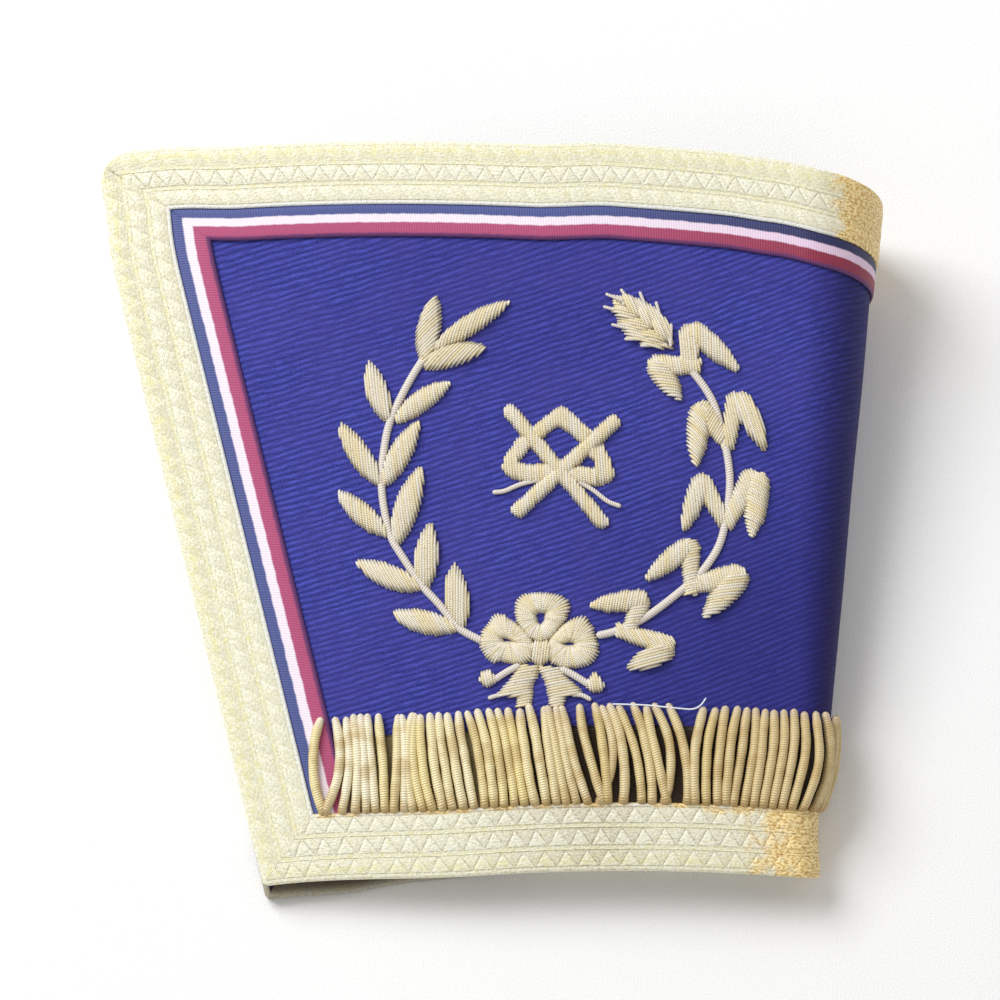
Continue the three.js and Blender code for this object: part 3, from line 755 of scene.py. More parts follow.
def braid_relief(u, v, clear):
    """Height over the braid's face, and how clear its zigzag is there."""

    def ridge(off, width):
        return np.exp(-((off / width) ** 2))

    height = np.zeros(u.shape)
    shown = np.full(u.shape, float(max(clear)))
    for lane, share in zip(LANES, clear):
        width = lane["to"] - lane["from"]
        t = (v - lane["from"]) / width
        inside = (t >= 0) & (t <= 1)
        turns = u / ZIGZAG + lane["phase"]
        off = np.abs(t - zigzag(turns)) * width / math.hypot(1, 2 * width / ZIGZAG)
        dome = LANE_DOME * np.sqrt(np.clip(np.sin(np.pi * np.clip(t, 0, 1)), 0, 1))
        height = np.where(inside, dome - share * GROOVE["depth"] * ridge(off, GROOVE["width"]), height)
        shown = np.where(inside, share, shown)
    for at in BORDER["at"]:
        height = np.maximum(height, BORDER["height"] * ridge(v - at, BORDER["width"]))
    edge = SELVEDGE["height"] * ridge(v - SELVEDGE["at"], SELVEDGE["width"])
    return np.maximum(height, edge * (0.8 + 0.2 * np.sin(u * 5.1 + 2 * np.sin(u / 3)))), shown


def braid_section(flange, inside):
    """Closed section of a braid that wraps over a rim: distances from the rim, lifts and shares of relief."""
    across = np.linspace(BRAID_WIDTH, 0, 51)
    top = [(v, TRIM - 0.2, 1.0) for v in across]
    top[0] = (BRAID_WIDTH, TRIM - 0.4, 0.0)
    nose = [(-0.3, 0.85, 0), (-0.48, 0.45, 0), (-0.52, 0, 0), (-0.52, -0.8, 0), (-0.45, -1.4, 0),
            (-0.25, inside + 0.08, 0), (0, inside, 0)]
    back = [(flange * t, inside, 0) for t in (0.3, 0.6, 0.9)]
    back += [(flange, inside + 0.08, 0), (flange, -1.55, 0)]
    under = [(flange * t, -1.56, 0) for t in (0.7, 0.35)]
    under += [(-0.12, -1.56, 0), (-0.12, -0.7, 0), (-0.12, 0.12, 0)]
    under += [(v, 0.16, 0) for v in (2, 6, 10)] + [(BRAID_WIDTH - 0.1, 0.2, 0)]
    return np.array(top + nose + back + under)


def rim_places(rim, across, step, outer_edge, aside=None):
    """Stations and heights of a trim round a rim, mitred at the cuff's ends. Rows follow the ring.

    aside is how far from the cuff's end the same lines of the trim lie there.
    """
    on_wide = rim is WIDE
    edge = 1.0 if on_wide else 0.0
    total = float(whole_length(edge))
    run = np.linspace(0, total, int(total / step))
    base = station_at(run, edge)[:, None]
    rounded = on_wide and outer_edge
    reach = corner_places(aside, across)[0] if rounded else np.abs(across if aside is None else aside)
    reach = reach + MITRE_GAP
    lead = np.clip(1 - run / MITRE_RUN, 0, 1)[:, None]
    tail = np.clip(1 - (total - run) / MITRE_RUN, 0, 1)[:, None]

    def height(along, distance):
        return 1 - distance / slant(along) if on_wide else distance / slant(along)

    up = height(base, across[None, :])
    from_front = length_at(np.broadcast_to(base, up.shape), up) + reach * lead - reach * tail
    along = station_at(from_front, up)
    distance = np.broadcast_to(across, up.shape)
    if rounded:
        drop = corner_drop(np.minimum(from_front, whole_length(up) - from_front))
        distance = drawn_in(distance, drop)
    up = height(along, distance)
    middle = height(along, BRAID_WIDTH / 2)
    return along, up, length_at(along, middle)


def end_places(end, across, step, outer_edge, foot, above):
    """Stations and heights of a trim up one end of the cuff, mitred at the wide rim. Rows go down the arm.

    above is how far from the wide rim the same lines of the trim lie there.
    """
    reach = np.abs(across)
    high = corner_places(across, above)[1] if outer_edge else np.abs(above)
    low = reach if foot is None else np.full(len(across), float(foot))
    near = 0.0 if end == 0 else 3.0
    count = int(float(slant(near)) / step)
    t = np.linspace(0, 1, count)[:, None]
    up = 1 - (high + MITRE_GAP) / slant(near)
    up = lerp(up, (low + MITRE_GAP) / slant(near), t)
    along = np.full(up.shape, near)
    for _ in range(2):
        from_rim = (1 - up) * slant(along)
        side = np.broadcast_to(across, up.shape)
        if outer_edge:
            side = drawn_in(side, corner_drop(from_rim))
        along = station_at(side if end == 0 else whole_length(up) - side, up)
        size = slant(along)
        up = lerp(1 - (high + MITRE_GAP) / size, (low + MITRE_GAP) / size, t)
    return along, up, (1 - up) * slant(along)


def braid(row, places, section):
    along, up, u = places
    across, lift, share = section.T
    v = np.broadcast_to(across, up.shape)
    height, clear = braid_relief(u, v, row["clear"])
    clear = np.where(share > 0, clear, HIDDEN)
    gone = 1 - smoothstep(along, *GOLD_GONE)
    # gold round the fold: partly real tarnish, partly painted shade
    gold = smoothstep(along - row["gold_from"], *GOLD_ROUND_FOLD) * gone
    if row["name"] == "gold_braid_wrist_rim":
        tinged = smoothstep(v, *TINGE_LANE) * smoothstep(along, *TINGE_ALONG) * gone
        gold = np.maximum(gold, np.maximum(0.45 * tinged, 0.5 * smoothstep(v, *TINGE_EDGE)))
    # painted shadow: the back layer's braid near the left end, under the front's edge, darkened, less so at
    # its nose
    under_shadow = 0.95 * smoothstep(along, *UNDER_SHADOW_ALONG) * (1 - smoothstep(up, *UNDER_SHADOW_GONE)) * row["shadowed"]
    shade = under_shadow * lerp(0.65, 1, smoothstep(v, *UNDER_SHADOW_NOSE))
    dull = eased(up if "end" in row else along, row["dull"])
    values = {"clear": clear, "gold": gold, "shade": shade, "dull": dull}
    part = bar(lifted(along, up, lift + share * height), u, v, values, row["flip"])
    return make_piece(row["name"], part, [BRAID_LOOK], row["node"])


RIM_SECTION = braid_section(4.0, -2.0)
END_SECTION = braid_section(0.8, -1.75)
# dull: along the wrist braid's middle it is real grime; at the wide rim's left end and towards the top of the
# end braids it is painted shade that evens out the brighter light at the top left
RIM_BRAIDS = [
    {"name": "gold_braid_wide_rim", "node": "braid_wide_rim", "rim": WIDE, "flip": False,
     "clear": (0.3, 1, 0.5), "gold_from": 1.12, "share": RIM_BRAID_SHARE, "shadowed": False,
     "dull": [(0, 0.08), (0.5, 0)]},
    {"name": "gold_braid_wrist_rim", "node": "braid_wrist_rim", "rim": WRIST, "flip": True,
     "clear": (0.9, 1, 0.95), "gold_from": 0.94, "share": 1, "shadowed": True,
     "dull": [(0.34, 0), (0.52, 0.14), (0.64, 0.26), (0.76, 0.06), (0.88, 0.1)]},
]
END_BRAIDS = [
    {"name": "gold_braid_front_end", "node": "braid_front_end", "end": 0, "flip": True,
     "clear": (0.2, 0.4, 0.4), "gold_from": 4, "shadowed": False, "dull": [(0.1, 0), (0.95, 0.14)]},
    {"name": "gold_braid_back_end", "node": "braid_back_end", "end": 3, "flip": False,
     "clear": (0.2, 0.4, 0.4), "gold_from": 4, "shadowed": True, "dull": [(0.1, 0), (0.95, 0.14)]},
]


def braids():
    pieces = []
    for row in RIM_BRAIDS:
        across = RIM_SECTION[:, 0] * row["share"]
        places = rim_places(row["rim"], across, BRAID_STEP, True, RIM_SECTION[:, 0])
        pieces.append(braid(row, places, RIM_SECTION))
    for row in END_BRAIDS:
        across = END_SECTION[:, 0]
        places = end_places(row["end"], across, BRAID_STEP, True, None, across * RIM_BRAID_SHARE)
        pieces.append(braid(row, places, END_SECTION))
    return pieces


# Striped ribbon along the wide rim and both ends

RIBBON_STEP = 0.6
RIBBON_TUCK = 0.4  # how far its outer edge lies under the braid
RIBBON_CROWN = 0.25
RIBBON_UNDER = 0.1


def ribbon():
    outer = BRAID_WIDTH + SEAT - RIBBON_TUCK
    inner = BRAID_WIDTH + SEAT + RIBBON_WIDTH
    middle = (outer + inner) / 2
    face = np.linspace(inner, outer, 17)
    section = [(v, RIBBON_FACE - RIBBON_CROWN * ((v - middle) / (inner - outer) * 2) ** 8) for v in face]
    section += [(v, RIBBON_UNDER) for v in (outer, middle, inner - 0.05)]
    across, lift = np.array(section).T
    parts = []
    above = BRAID_WIDTH * RIM_BRAID_SHARE + SEAT + (across - BRAID_WIDTH - SEAT) * RIM_RIBBON_SHARE
    strips = [(rim_places(WIDE, above, RIBBON_STEP, False, across), False)]
    for end, flip in ((0, True), (3, False)):
        strips.append((end_places(end, across, RIBBON_STEP, False, BRAID_WIDTH - 1, above), flip))
    for (along, up, u), flip in strips:
        v = np.broadcast_to(across, up.shape)
        swell = 0.05 * np.sin(u / 9 + v / 5) * (lift > 0.3)
        shape = lifted(along, up, lift + swell)
        # painted shade on the ribbon towards and round the fold
        parts.append(bar(shape, u, v - BRAID_WIDTH - SEAT, {"fold": smoothstep(along, 0.6, 1.1)}, flip))
    part = merged(parts)
    return make_piece("striped_ribbon", part, [ribbon_look()], "tricolour_ribbon")


# Hidden tape between the two ends

TAPE_FROM_END = 1
TAPE_WIDTH = 6
TAPE_TOP = -WALL - SEAT
TAPE_THICK = 0.8
TAPE_FROM_RIM = 7
TAPE_STEP = 1.5


def tape():
    across = [TAPE_FROM_END, TAPE_FROM_END + TAPE_WIDTH / 2, TAPE_FROM_END + TAPE_WIDTH]
    section = [(v, TAPE_TOP) for v in across] + [(v, TAPE_TOP - TAPE_THICK) for v in across[::-1]]
    across, lift = np.array(section).T
    count = int(float(slant(0.0)) / TAPE_STEP)
    from_rim = np.linspace(TAPE_FROM_RIM, float(slant(0.0)) - TAPE_FROM_RIM, count)[:, None]
    up = np.broadcast_to(1 - from_rim / float(slant(0.0)), (count, len(across)))
    along = station_at(np.broadcast_to(across, up.shape), up)
    part = bar(lifted(along, up, lift + 0.04 * np.sin(from_rim * 2.1)), from_rim, across, {})
    look = woven_look("dark_tape", TAPE_DARK, TAPE_LIGHT)
    return make_piece("woven_tape", part, [look], "closing_tape")


# Bullion fringe. Columns: where a strand's foot is on the plan, and how far to its right the strand's middle
# and its tip lie.

STRANDS = [
    (-34.2, -2.6, -1.0), (-34.7, 3.4, 2.0), (-30.9, 1.6, 0.7), (-28.0, 0.6, -0.5), (-25.6, -0.4, -1.4),
    (-23.6, -1.0, -2.0), (-21.7, -0.5, -1.6), (-19.9, 0.6, 0.7), (-17.8, 0.2, -0.6), (-15.7, -1.4, -0.3),
    (-13.6, -2.2, -2.0), (-11.6, -2.4, -2.8), (-9.5, -2.0, -3.0), (-7.5, -1.9, -3.2), (-5.2, -2.0, -3.6),
    (-3.0, -2.0, -3.6), (-0.9, -1.2, -3.8), (1.1, -1.2, -3.6), (3.1, -1.1, -3.4), (5.3, -1.3, -3.7),
    (7.5, -1.8, -3.6), (9.7, -2.1, -3.3), (12.0, -1.7, -3.7), (14.1, -1.5, -2.8), (16.2, -2.2, -4.0),
    (18.3, -2.5, -4.4), (20.7, -3.3, -5.6), (24.0, -3.3, -5.3), (24.6, -0.8, -2.8), (22.5, 3.1, 0.7),
    (27.7, 0.1, -2.8), (31.6, -1.2, -4.8), (33.7, -0.8, -4.0), (37.0, -2.4, -4.4), (35.9, 1.7, -1.7),
    (40.9, -0.3, -3.8), (42.7, -0.1, 1.8), (45.0, 0.1, 2.0), (47.3, 0.3, 2.0), (48.9, 0.9, 2.7),
    (50.4, 1.7, 3.3), (52.6, 2.0, 2.9), (54.7, 1.6, 2.7), (56.6, 2.0, 2.7), (58.6, 2.2, 2.7),
    (60.6, 2.3, 2.8), (62.6, 2.4, 2.8), (64.6, 2.5, 2.9), (66.5, 2.6, 2.9),
]
STRAND_RADIUS = 0.99
STRAND_PITCH = 2.1  # round the bend and the back
STRAND_LENGTH = 20.8
STRAND_FOOT = BRAID_WIDTH - 0.5
STRAND_FOOT_Y = -60.2
STRAND_FOOT_UP = STRAND_FOOT / 150
STRAND_LEAN = 2.4
STRAND_RISE = (0.6, 1.5)  # how far a strand arches off the cloth
FOLD_RISE = {"height": 1.3, "at": 1.15, "width": 0.2}  # how much further it does at the folded side
STRANDS_UNDER = (1.45, 1.8)  # stations between which the strands come to lie pressed under the cuff
STRAND_PRESSED = 0.44
STRAND_TONE = [(0.5, 1), (0.7, 0.45)]
STRAND_DARKER_RIGHT = [(0.48, 0), (0.65, 0.7), (0.78, 0.7), (0.9, 1.1)]
HEAD_GAP_SHADE = [(0.45, 0.75), (0.55, 1)]
HEAD_SECTION = [(29.5, 0.12), (28.5, 0.4), (20, 0.6), (13.6, 0.75), (13.1, 0.5), (13.1, 0.1), (20, 0.1)]
HEAD_STEP = 1.5
STRAND_STEPS = 64
STRAND_SIDES = 8
COIL_PITCH = 0.5


def strand_starts():
    """Each strand's station at its foot, and its middle's and tip's offsets round the ring."""
    x, middle, tip = np.array(STRANDS).T
    foot = station_over(x, np.full(len(x), STRAND_FOOT_Y))[0]
    front = [foot]
    for share, offset in ((0.5, middle), (1.0, tip)):
        along, up = station_over(x + offset, np.full(len(x), STRAND_FOOT_Y + share * STRAND_LENGTH))
        front.append(length_at(along, up) - length_at(foot, up))
    last = length_at(foot[-1], STRAND_FOOT_UP)
    count = int((whole_length(STRAND_FOOT_UP) - FRINGE_FROM_END - last) / STRAND_PITCH)
    along = station_at(last + STRAND_PITCH * np.arange(1, count + 1), STRAND_FOOT_UP)
    drift = random.normal(0, (0.5, 0.3), (count, 2))
    lean = STRAND_LEAN * (1 - smoothstep(along, 0.97, 1.4)) + drift[:, 0]
    return np.concatenate([np.array(front).T, np.stack([along, 0.6 * lean + drift[:, 1], lean], -1)])


def fringe_head(first, last):
    """The band that the strands are sewn to, under their lower halves, near-black as painted shade in the gaps
    between strands.
    """
    across, lift = np.array(HEAD_SECTION).T
    along = np.linspace(first, last, int(float(whole_length(0.1)) / HEAD_STEP))[:, None]
    along = np.broadcast_to(along, (len(along), len(across)))
    up = across / slant(along)
    values = dict.fromkeys(("tone", "foot", "tip", "fold"), 0 * up)
    values["gap_shade"] = eased(along, HEAD_GAP_SHADE)
    return bar(lifted(along, up, lift), length_at(along, up), across, values, True)


def bullion():
    starts = strand_starts()
    count = len(starts)
    t = np.linspace(0, 1, STRAND_STEPS)[None, :]
    foot, middle, tip = starts.T[:, :, None]
    length = STRAND_LENGTH + random.normal(0, 0.25, (count, 1))
    distance = STRAND_FOOT + t * length
    up = distance / slant(foot)
    bow = 4 * t * (1 - t)
    phase = random.uniform(0, 6, (count, 1))
    offset = tip * t * t + (middle - tip * 0.25) * bow + 0.12 * np.sin(9 * t + phase) * t
    along = station_at(length_at(np.broadcast_to(foot, up.shape), up) + offset, up)
    pressed = smoothstep(foot, *STRANDS_UNDER)
    flat = lerp(1.0, STRAND_PRESSED, pressed) * lerp(0.5, 1, smoothstep(t, 0, 0.08))
    rise = lerp(random.uniform(*STRAND_RISE, (count, 1)), 0.0, pressed)
    rise = rise + FOLD_RISE["height"] * np.exp(-(((foot - FOLD_RISE["at"]) / FOLD_RISE["width"]) ** 2))
    lift = SEAT + 0.88 * flat + rise * bow * lerp(1, 0.35, t)
    path = lifted(along, up, lift)
    uneven = 1 + 0.03 * np.sin(1.1 * t * length + 2 * phase) - 0.22 * smoothstep(t, 0.86, 1)
    end = np.minimum(t * length, (1 - t) * length)
    taper = np.sqrt(np.clip(1 - (1 - np.clip(end / 0.7, 0, 1)) ** 2, 0.08, 1))
    size = STRAND_RADIUS * (1 + random.normal(0, 0.035, (count, 1)))
    values = {
        "tone": random.uniform(0, 1, (count, 1)) * eased(foot, STRAND_TONE),
        "foot": 1 - smoothstep(t, 0.02, 0.16),
        "tip": smoothstep(t, 0.86, 0.97),
        "gap_shade": 0.0,
        # painted shade round the fold, and darker towards the front's right end
        "fold": np.maximum(fold_shade_share(along), eased(foot, STRAND_DARKER_RIGHT)),
    }
    strands = tubes(path, size * taper * uneven, outward(along, up), STRAND_SIDES, values, flat)
    part = merged([strands, fringe_head(starts[2, 0], starts[-1, 0])])
    return make_piece("bullion_strands", part, [bullion_look()], "bullion_fringe")


# Embroidery in metal thread: outlines on the plan, filled with arching stitches

STITCH_STEPS = 7
STITCH_SIDES = 6
STITCH_PITCH = 0.56
STITCH_RADIUS = 0.34
STITCH_LIFT = 0.12
LEAF_PROFILE = [
    (0.0, 0.18), (0.1, 0.52), (0.25, 0.86), (0.45, 1.0), (0.65, 0.93), (0.82, 0.66), (0.93, 0.36),
    (1.0, 0.06),
]


def spine_outline(points, widths, rounded=(False, False)):
    """Outline on the plan of a shape with widths along its spine, its first and last end rounded or not."""
    points, widths = np.array(points, float), np.array(widths, float)
    run = unit(np.gradient(points, axis=0))
    side = np.stack([-run[:, 1], run[:, 0]], -1) * widths[:, None] / 2
    outline = [points + side]
    for end, sign in ((-1, 1), (0, -1)):
        if rounded[end]:
            turn = np.radians([60, 25, -25, -60])[:, None]
            reach = sign * run[end] * widths[end] / 2
            outline.append(points[end] + np.cos(turn) * reach + np.sin(turn) * sign * side[end])
        if end == -1:
            outline.append((points - side)[::-1])
    return np.concatenate(outline)


def leaf_outline(foot, tip, width, bow=0.0):
    foot, tip = np.array(foot, float), np.array(tip, float)
    t, share = np.array(LEAF_PROFILE).T
    run = tip - foot
    side = np.array([-run[1], run[0]]) / np.linalg.norm(run)
    spine = foot + t[:, None] * run + (4 * t * (1 - t))[:, None] * bow * side
    return spine_outline(spine, share * width)


def stitch_rows(outline, angle):
    """Ends of the stitches that fill an outline, laid at an angle in degrees."""
    outline = np.array(outline, float)
    turn = math.radians(angle)
    run = np.array([math.cos(turn), math.sin(turn)])
    over = np.array([-run[1], run[0]])
    closed = np.concatenate([outline, outline[:1]])
    p, q = closed @ over, closed @ run
    rows = []
    for level in np.arange(p.min() + STITCH_PITCH * 0.4, p.max(), STITCH_PITCH):
        crossing = []
        for k in range(len(outline)):
            if (p[k] - level) * (p[k + 1] - level) < 0:
                crossing.append(lerp(q[k], q[k + 1], (level - p[k]) / (p[k + 1] - p[k])))
        crossing.sort()
        for low, high in zip(crossing[::2], crossing[1::2]):
            if high - low > 0.5:
                low, high = low + random.uniform(-0.2, 0.12), high + random.uniform(-0.12, 0.2)
                rows.append([*(low * run + level * over), *(high * run + level * over)])
    return np.array(rows).reshape(-1, 4)


def ray_reach(outline, centre, heading):
    """How far an outline lies from a centre in one direction."""
    run = np.array([math.cos(heading), math.sin(heading)])
    a = np.array(outline, float) - centre
    b = np.roll(a, -1, axis=0)
    edge = b - a
    det = run[0] * edge[:, 1] - run[1] * edge[:, 0]
    det = np.where(np.abs(det) < 1e-9, 1e-9, det)
    reach = (a[:, 0] * edge[:, 1] - a[:, 1] * edge[:, 0]) / det
    share = (a[:, 0] * run[1] - a[:, 1] * run[0]) / det
    return reach[(share >= 0) & (share <= 1) & (reach > 0)].max(initial=0.3)


def ring_rows(outline, hole):
    """Ends of the stitches that run from a hole out to an outline."""
    centre = np.mean(hole, axis=0)
    girth = np.linalg.norm(np.diff(outline, axis=0), axis=1).sum()
    rows = []
    for heading in np.arange(0, 2 * math.pi, 2 * math.pi * STITCH_PITCH / girth):
        run = np.array([math.cos(heading), math.sin(heading)])
        start = ray_reach(hole, centre, heading) + random.uniform(-0.1, 0.15)
        stop = ray_reach(outline, centre, heading) + random.uniform(-0.12, 0.12)
        rows.append([*(centre + start * run), *(centre + stop * run)])
    return np.array(rows)


def stitched(shapes):
    """Tubes for stitches given as (their ends, height)."""
    parts = []
    t = np.linspace(0, 1, STITCH_STEPS)[None, :]
    for rows, high in shapes:
        start, stop = rows[:, None, 0:2], rows[:, None, 2:4]
        plan = start + (stop - start) * t[..., None]
        span = np.linalg.norm(stop - start, axis=-1)
        usual = max(float(np.median(span)), 1.0)
        tall = high * np.clip(span / usual, 0, 1) ** 0.7 + random.uniform(-0.05, 0.05, span.shape)
        arch = (1 - np.abs(2 * t - 1) ** 2.6) ** 0.7
        along, up = station_over(plan[..., 0], plan[..., 1])
        path = lifted(along, up, STITCH_LIFT + tall * arch)
        radii = np.full(plan.shape[:2], STITCH_RADIUS) * (1 - 0.25 * np.abs(2 * t - 1) ** 4)
        values = {"tone": random.uniform(0, 1, (len(rows), 1))}
        parts.append(tubes(path, radii, outward(along, up), STITCH_SIDES, values))
    return parts


def smooth_path(points, rounds=3):
    """Corner cutting that keeps both ends."""
    points = np.array(points, float)
    for _ in range(rounds):
        a = lerp(points[:-1], points[1:], 0.25)
        b = lerp(points[:-1], points[1:], 0.75)
        middle = np.stack([a, b], 1).reshape(-1, points.shape[1])
        points = np.concatenate([points[:1], middle[1:-1], points[-1:]])
    return points


CORD_SIDES = 8
CORD_TWIST = 1.1


def cord(points, radius, lift, flat=0.75):
    """One twisted thread along a path on the plan."""
    plan = smooth_path(points)
    gone = np.concatenate([[0], np.cumsum(np.linalg.norm(np.diff(plan, axis=0), axis=1))])
    even = np.linspace(0, gone[-1], max(int(gone[-1] / 0.25), 6))
    along, up = station_over(np.interp(even, gone, plan[:, 0]), np.interp(even, gone, plan[:, 1]))
    path = lifted(along, up, lift)[None]
    turn = np.arange(CORD_SIDES) / CORD_SIDES
    coil = np.cos(4 * np.pi * (even[:, None] / CORD_TWIST + turn))
    end = np.minimum(even, gone[-1] - even) / radius
    taper = np.sqrt(np.clip(1 - (1 - np.clip(end, 0, 1)) ** 2, 0.1, 1))
    radii = (radius * taper[:, None] * (1 + 0.06 * coil))[None]
    return tubes(path, radii, outward(along, up)[None], CORD_SIDES, {"tone": 0.5}, flat)


def embroidery(name, node, shapes, cords):
    parts = stitched(shapes)
    part = merged(parts + cords)
    quads, caps = part[1]
    tags = np.zeros(len(quads) + len(caps))
    tags[sum(len(stitches[1][0]) for stitches in parts):len(quads)] = 1
    return make_piece(name, part, [STITCH_LOOK, CORD_LOOK], node, tags)


# Left branch of the wreath. Columns: foot, tip, width, bow, stitch angle.
LAUREL = [
    ((-13.5, 29.5), (-11.0, 44.0), 5.0, 0.3, 45),
    ((-11.5, 32.5), (4.5, 42.6), 4.2, 0.4, 70),
    ((-13.5, 29.0), (-0.5, 33.0), 4.8, 0.6, 45),
    ((-21.0, 17.5), (-25.0, 30.5), 4.6, 0.3, 97),
    ((-19.5, 17.5), (-8.0, 25.6), 4.4, 0.5, 97),
    ((-22.5, 4.5), (-31.0, 17.6), 4.6, 0.3, 97),
    ((-21.5, 4.5), (-14.5, 17.5), 4.8, 0.4, 97),
    ((-21.0, -6.0), (-31.6, 3.5), 4.4, 0.2, 97),
    ((-19.0, -8.0), (-14.0, 8.1), 5.2, 0.4, 97),
    ((-13.0, -17.5), (-12.0, -3.5), 5.0, 0.3, 90),
    ((-14.0, -17.0), (-27.4, -11.3), 4.8, 0.3, 120),
    ((-5.5, -26.0), (-7.0, -12.0), 5.2, 0.3, 90),
    ((-6.5, -25.5), (-20.0, -22.0), 4.8, 0.3, 120),
]
LAUREL_STEM = [
    (-1.0, -28.2), (-6.5, -25.5), (-9.5, -21), (-14, -16.5), (-17.5, -11), (-20.5, -6.5), (-22, 0.5),
    (-22.5, 6.5), (-21.5, 14.5), (-20.5, 18), (-18.5, 22.5), (-15.5, 28), (-12, 33),
]
LEAF_HEIGHT = 1.45
STEM_RADIUS = 0.82
STEM_LIFT = 0.4


def laurel():
    shapes = []
    for foot, tip, width, curve, angle in LAUREL:
        shapes.append((stitch_rows(leaf_outline(foot, tip, width, curve), angle), LEAF_HEIGHT))
    return embroidery("laurel_stitches", "laurel_branch", shapes, [cord(LAUREL_STEM, STEM_RADIUS, STEM_LIFT)])


# Right branch, of folded leaves. Columns: node, bend, start and tip of the drooping half, its width, and the
# stitch angles of the rising and the drooping half.
WHEAT = [
    ((42.4, 28.4), (42.3, 35.6), (43.9, 35.8), (52.0, 28.3), 4.6, 95, 92),
    ((43.4, 28.9), (35.7, 28.9), (35.6, 28.4), (40.0, 22.3), 4.8, 100, 172),
    ((48.8, 14.2), (45.2, 19.3), (44.3, 18.8), (43.4, 8.6), 4.7, 60, 135),
    ((50.3, 12.6), (51.8, 21.4), (53.3, 21.3), (57.7, 11.6), 4.3, 100, 108),
    ((48.8, -3.3), (45.0, 4.2), (44.3, 4.2), (41.1, -5.0), 4.2, 95, 95),
    ((50.0, -3.6), (54.8, 4.8), (56.4, 4.2), (55.1, -6.2), 5.0, 110, 150),
    ((42.2, -17.6), (42.2, -9.2), (40.8, -9.3), (33.4, -15.2), 4.2, 15, 90),
    ((43.0, -16.7), (51.4, -15.0), (51.8, -15.8), (45.3, -22.8), 5.2, 100, 8),
    ((29.6, -25.2), (31.7, -20.6), (31.4, -19.7), (21.8, -20.9), 4.2, 8, 78),
    ((27.6, -26.2), (36.8, -29.1), (36.8, -30.3), (29.4, -33.6), 4.4, 120, 15),
]
RISE_SHARES = [(0.0, 0.62), (0.5, 0.8), (1.0, 0.95)]
NODE_OVERLAP = 1.3
DROOP_SHARES = [(0.0, 0.95), (0.3, 1.0), (0.7, 0.82), (1.0, 0.3)]
WHEAT_STEM = [
    (42.6, 28.0), (45.3, 24.5), (47.2, 21.3), (48.4, 17.5), (49.3, 13.8), (50.2, 9.2), (50.6, 5.0),
    (50.3, 0.9), (49.7, -3.3), (48.4, -8.5), (45.8, -12.6), (43.1, -15.6), (40.0, -18.1), (35.8, -21.4),
    (31.6, -24.2), (26.4, -26.4), (22.5, -27.2),
]
EAR_FOOT = (39.0, 32.4)
EAR_TIP = (26.0, 43.6)
EAR_UPPER = [(38.6, 35.5), (37.5, 38.6), (35.2, 41.2), (32.0, 43.1), (28.9, 43.8)]
EAR_LOWER = [(26.9, 40.5), (27.4, 37.3), (29.4, 34.9), (33.0, 33.2), (36.8, 32.4)]
EAR_KERNELS = [0.12, 0.34, 0.56]
EAR_SPLAY = 26
EAR_HEIGHT = 1.2
KERNEL = {"turn": 20, "length": 6.5, "width": 2.4, "height": 1.75}
RISE_HEIGHT = 1.1
AWNS = [
    ((28.5, 42.4), (24.7, 44.0)), ((30.6, 41.2), (27.9, 45.0)), ((33.6, 40.0), (31.9, 44.4)),
    ((36.4, 38.4), (35.3, 42.3)), ((28.6, 40.0), (24.2, 41.3)), ((30.4, 36.4), (25.9, 37.5)),
    ((33.4, 34.4), (28.6, 34.4)), ((37.8, 33.1), (31.9, 33.0)), ((38.5, 37.6), (38.3, 32.6)),
]
AWN_RADIUS = 0.34
AWN_LIFT = 1.0


def halves(a, b, shares, width, rounded, before=0.0):
    a, b = np.array(a, float), np.array(b, float)
    a = a - before * unit(b - a)
    t, share = np.array(shares).T
    return spine_outline(a + t[:, None] * (b - a), share * width, rounded)


def wheat():
    shapes = []
    for node, bend, start, tip, width, rising, drooping in WHEAT:
        rise = halves(node, bend, RISE_SHARES, width, (False, True), NODE_OVERLAP)
        droop = halves(start, tip, DROOP_SHARES, width, (True, True))
        shapes += [(stitch_rows(rise, rising), RISE_HEIGHT), (stitch_rows(droop, drooping), LEAF_HEIGHT)]
    foot, tip = np.array(EAR_FOOT), np.array(EAR_TIP)
    heading = math.degrees(math.atan2(tip[1] - foot[1], tip[0] - foot[0]))
    shapes.append((stitch_rows([EAR_FOOT, *EAR_UPPER, EAR_TIP], heading - EAR_SPLAY), EAR_HEIGHT))
    shapes.append((stitch_rows([EAR_FOOT, EAR_TIP, *EAR_LOWER], heading + EAR_SPLAY), EAR_HEIGHT))
    for place in EAR_KERNELS:
        for side in (-1, 1):
            at = lerp(foot, tip, place)
            turn = math.radians(heading + side * KERNEL["turn"])
            end = at + KERNEL["length"] * np.array([math.cos(turn), math.sin(turn)])
            rows = stitch_rows(leaf_outline(at, end, KERNEL["width"]), heading + side * EAR_SPLAY)
            shapes.append((rows, KERNEL["height"]))
    cords = [cord(WHEAT_STEM, STEM_RADIUS, STEM_LIFT)]
    cords += [cord([a, lerp(np.array(a), np.array(b), 0.5), b], AWN_RADIUS, AWN_LIFT) for a, b in AWNS]
    return embroidery("wheat_stitches", "wheat_branch", shapes, cords)


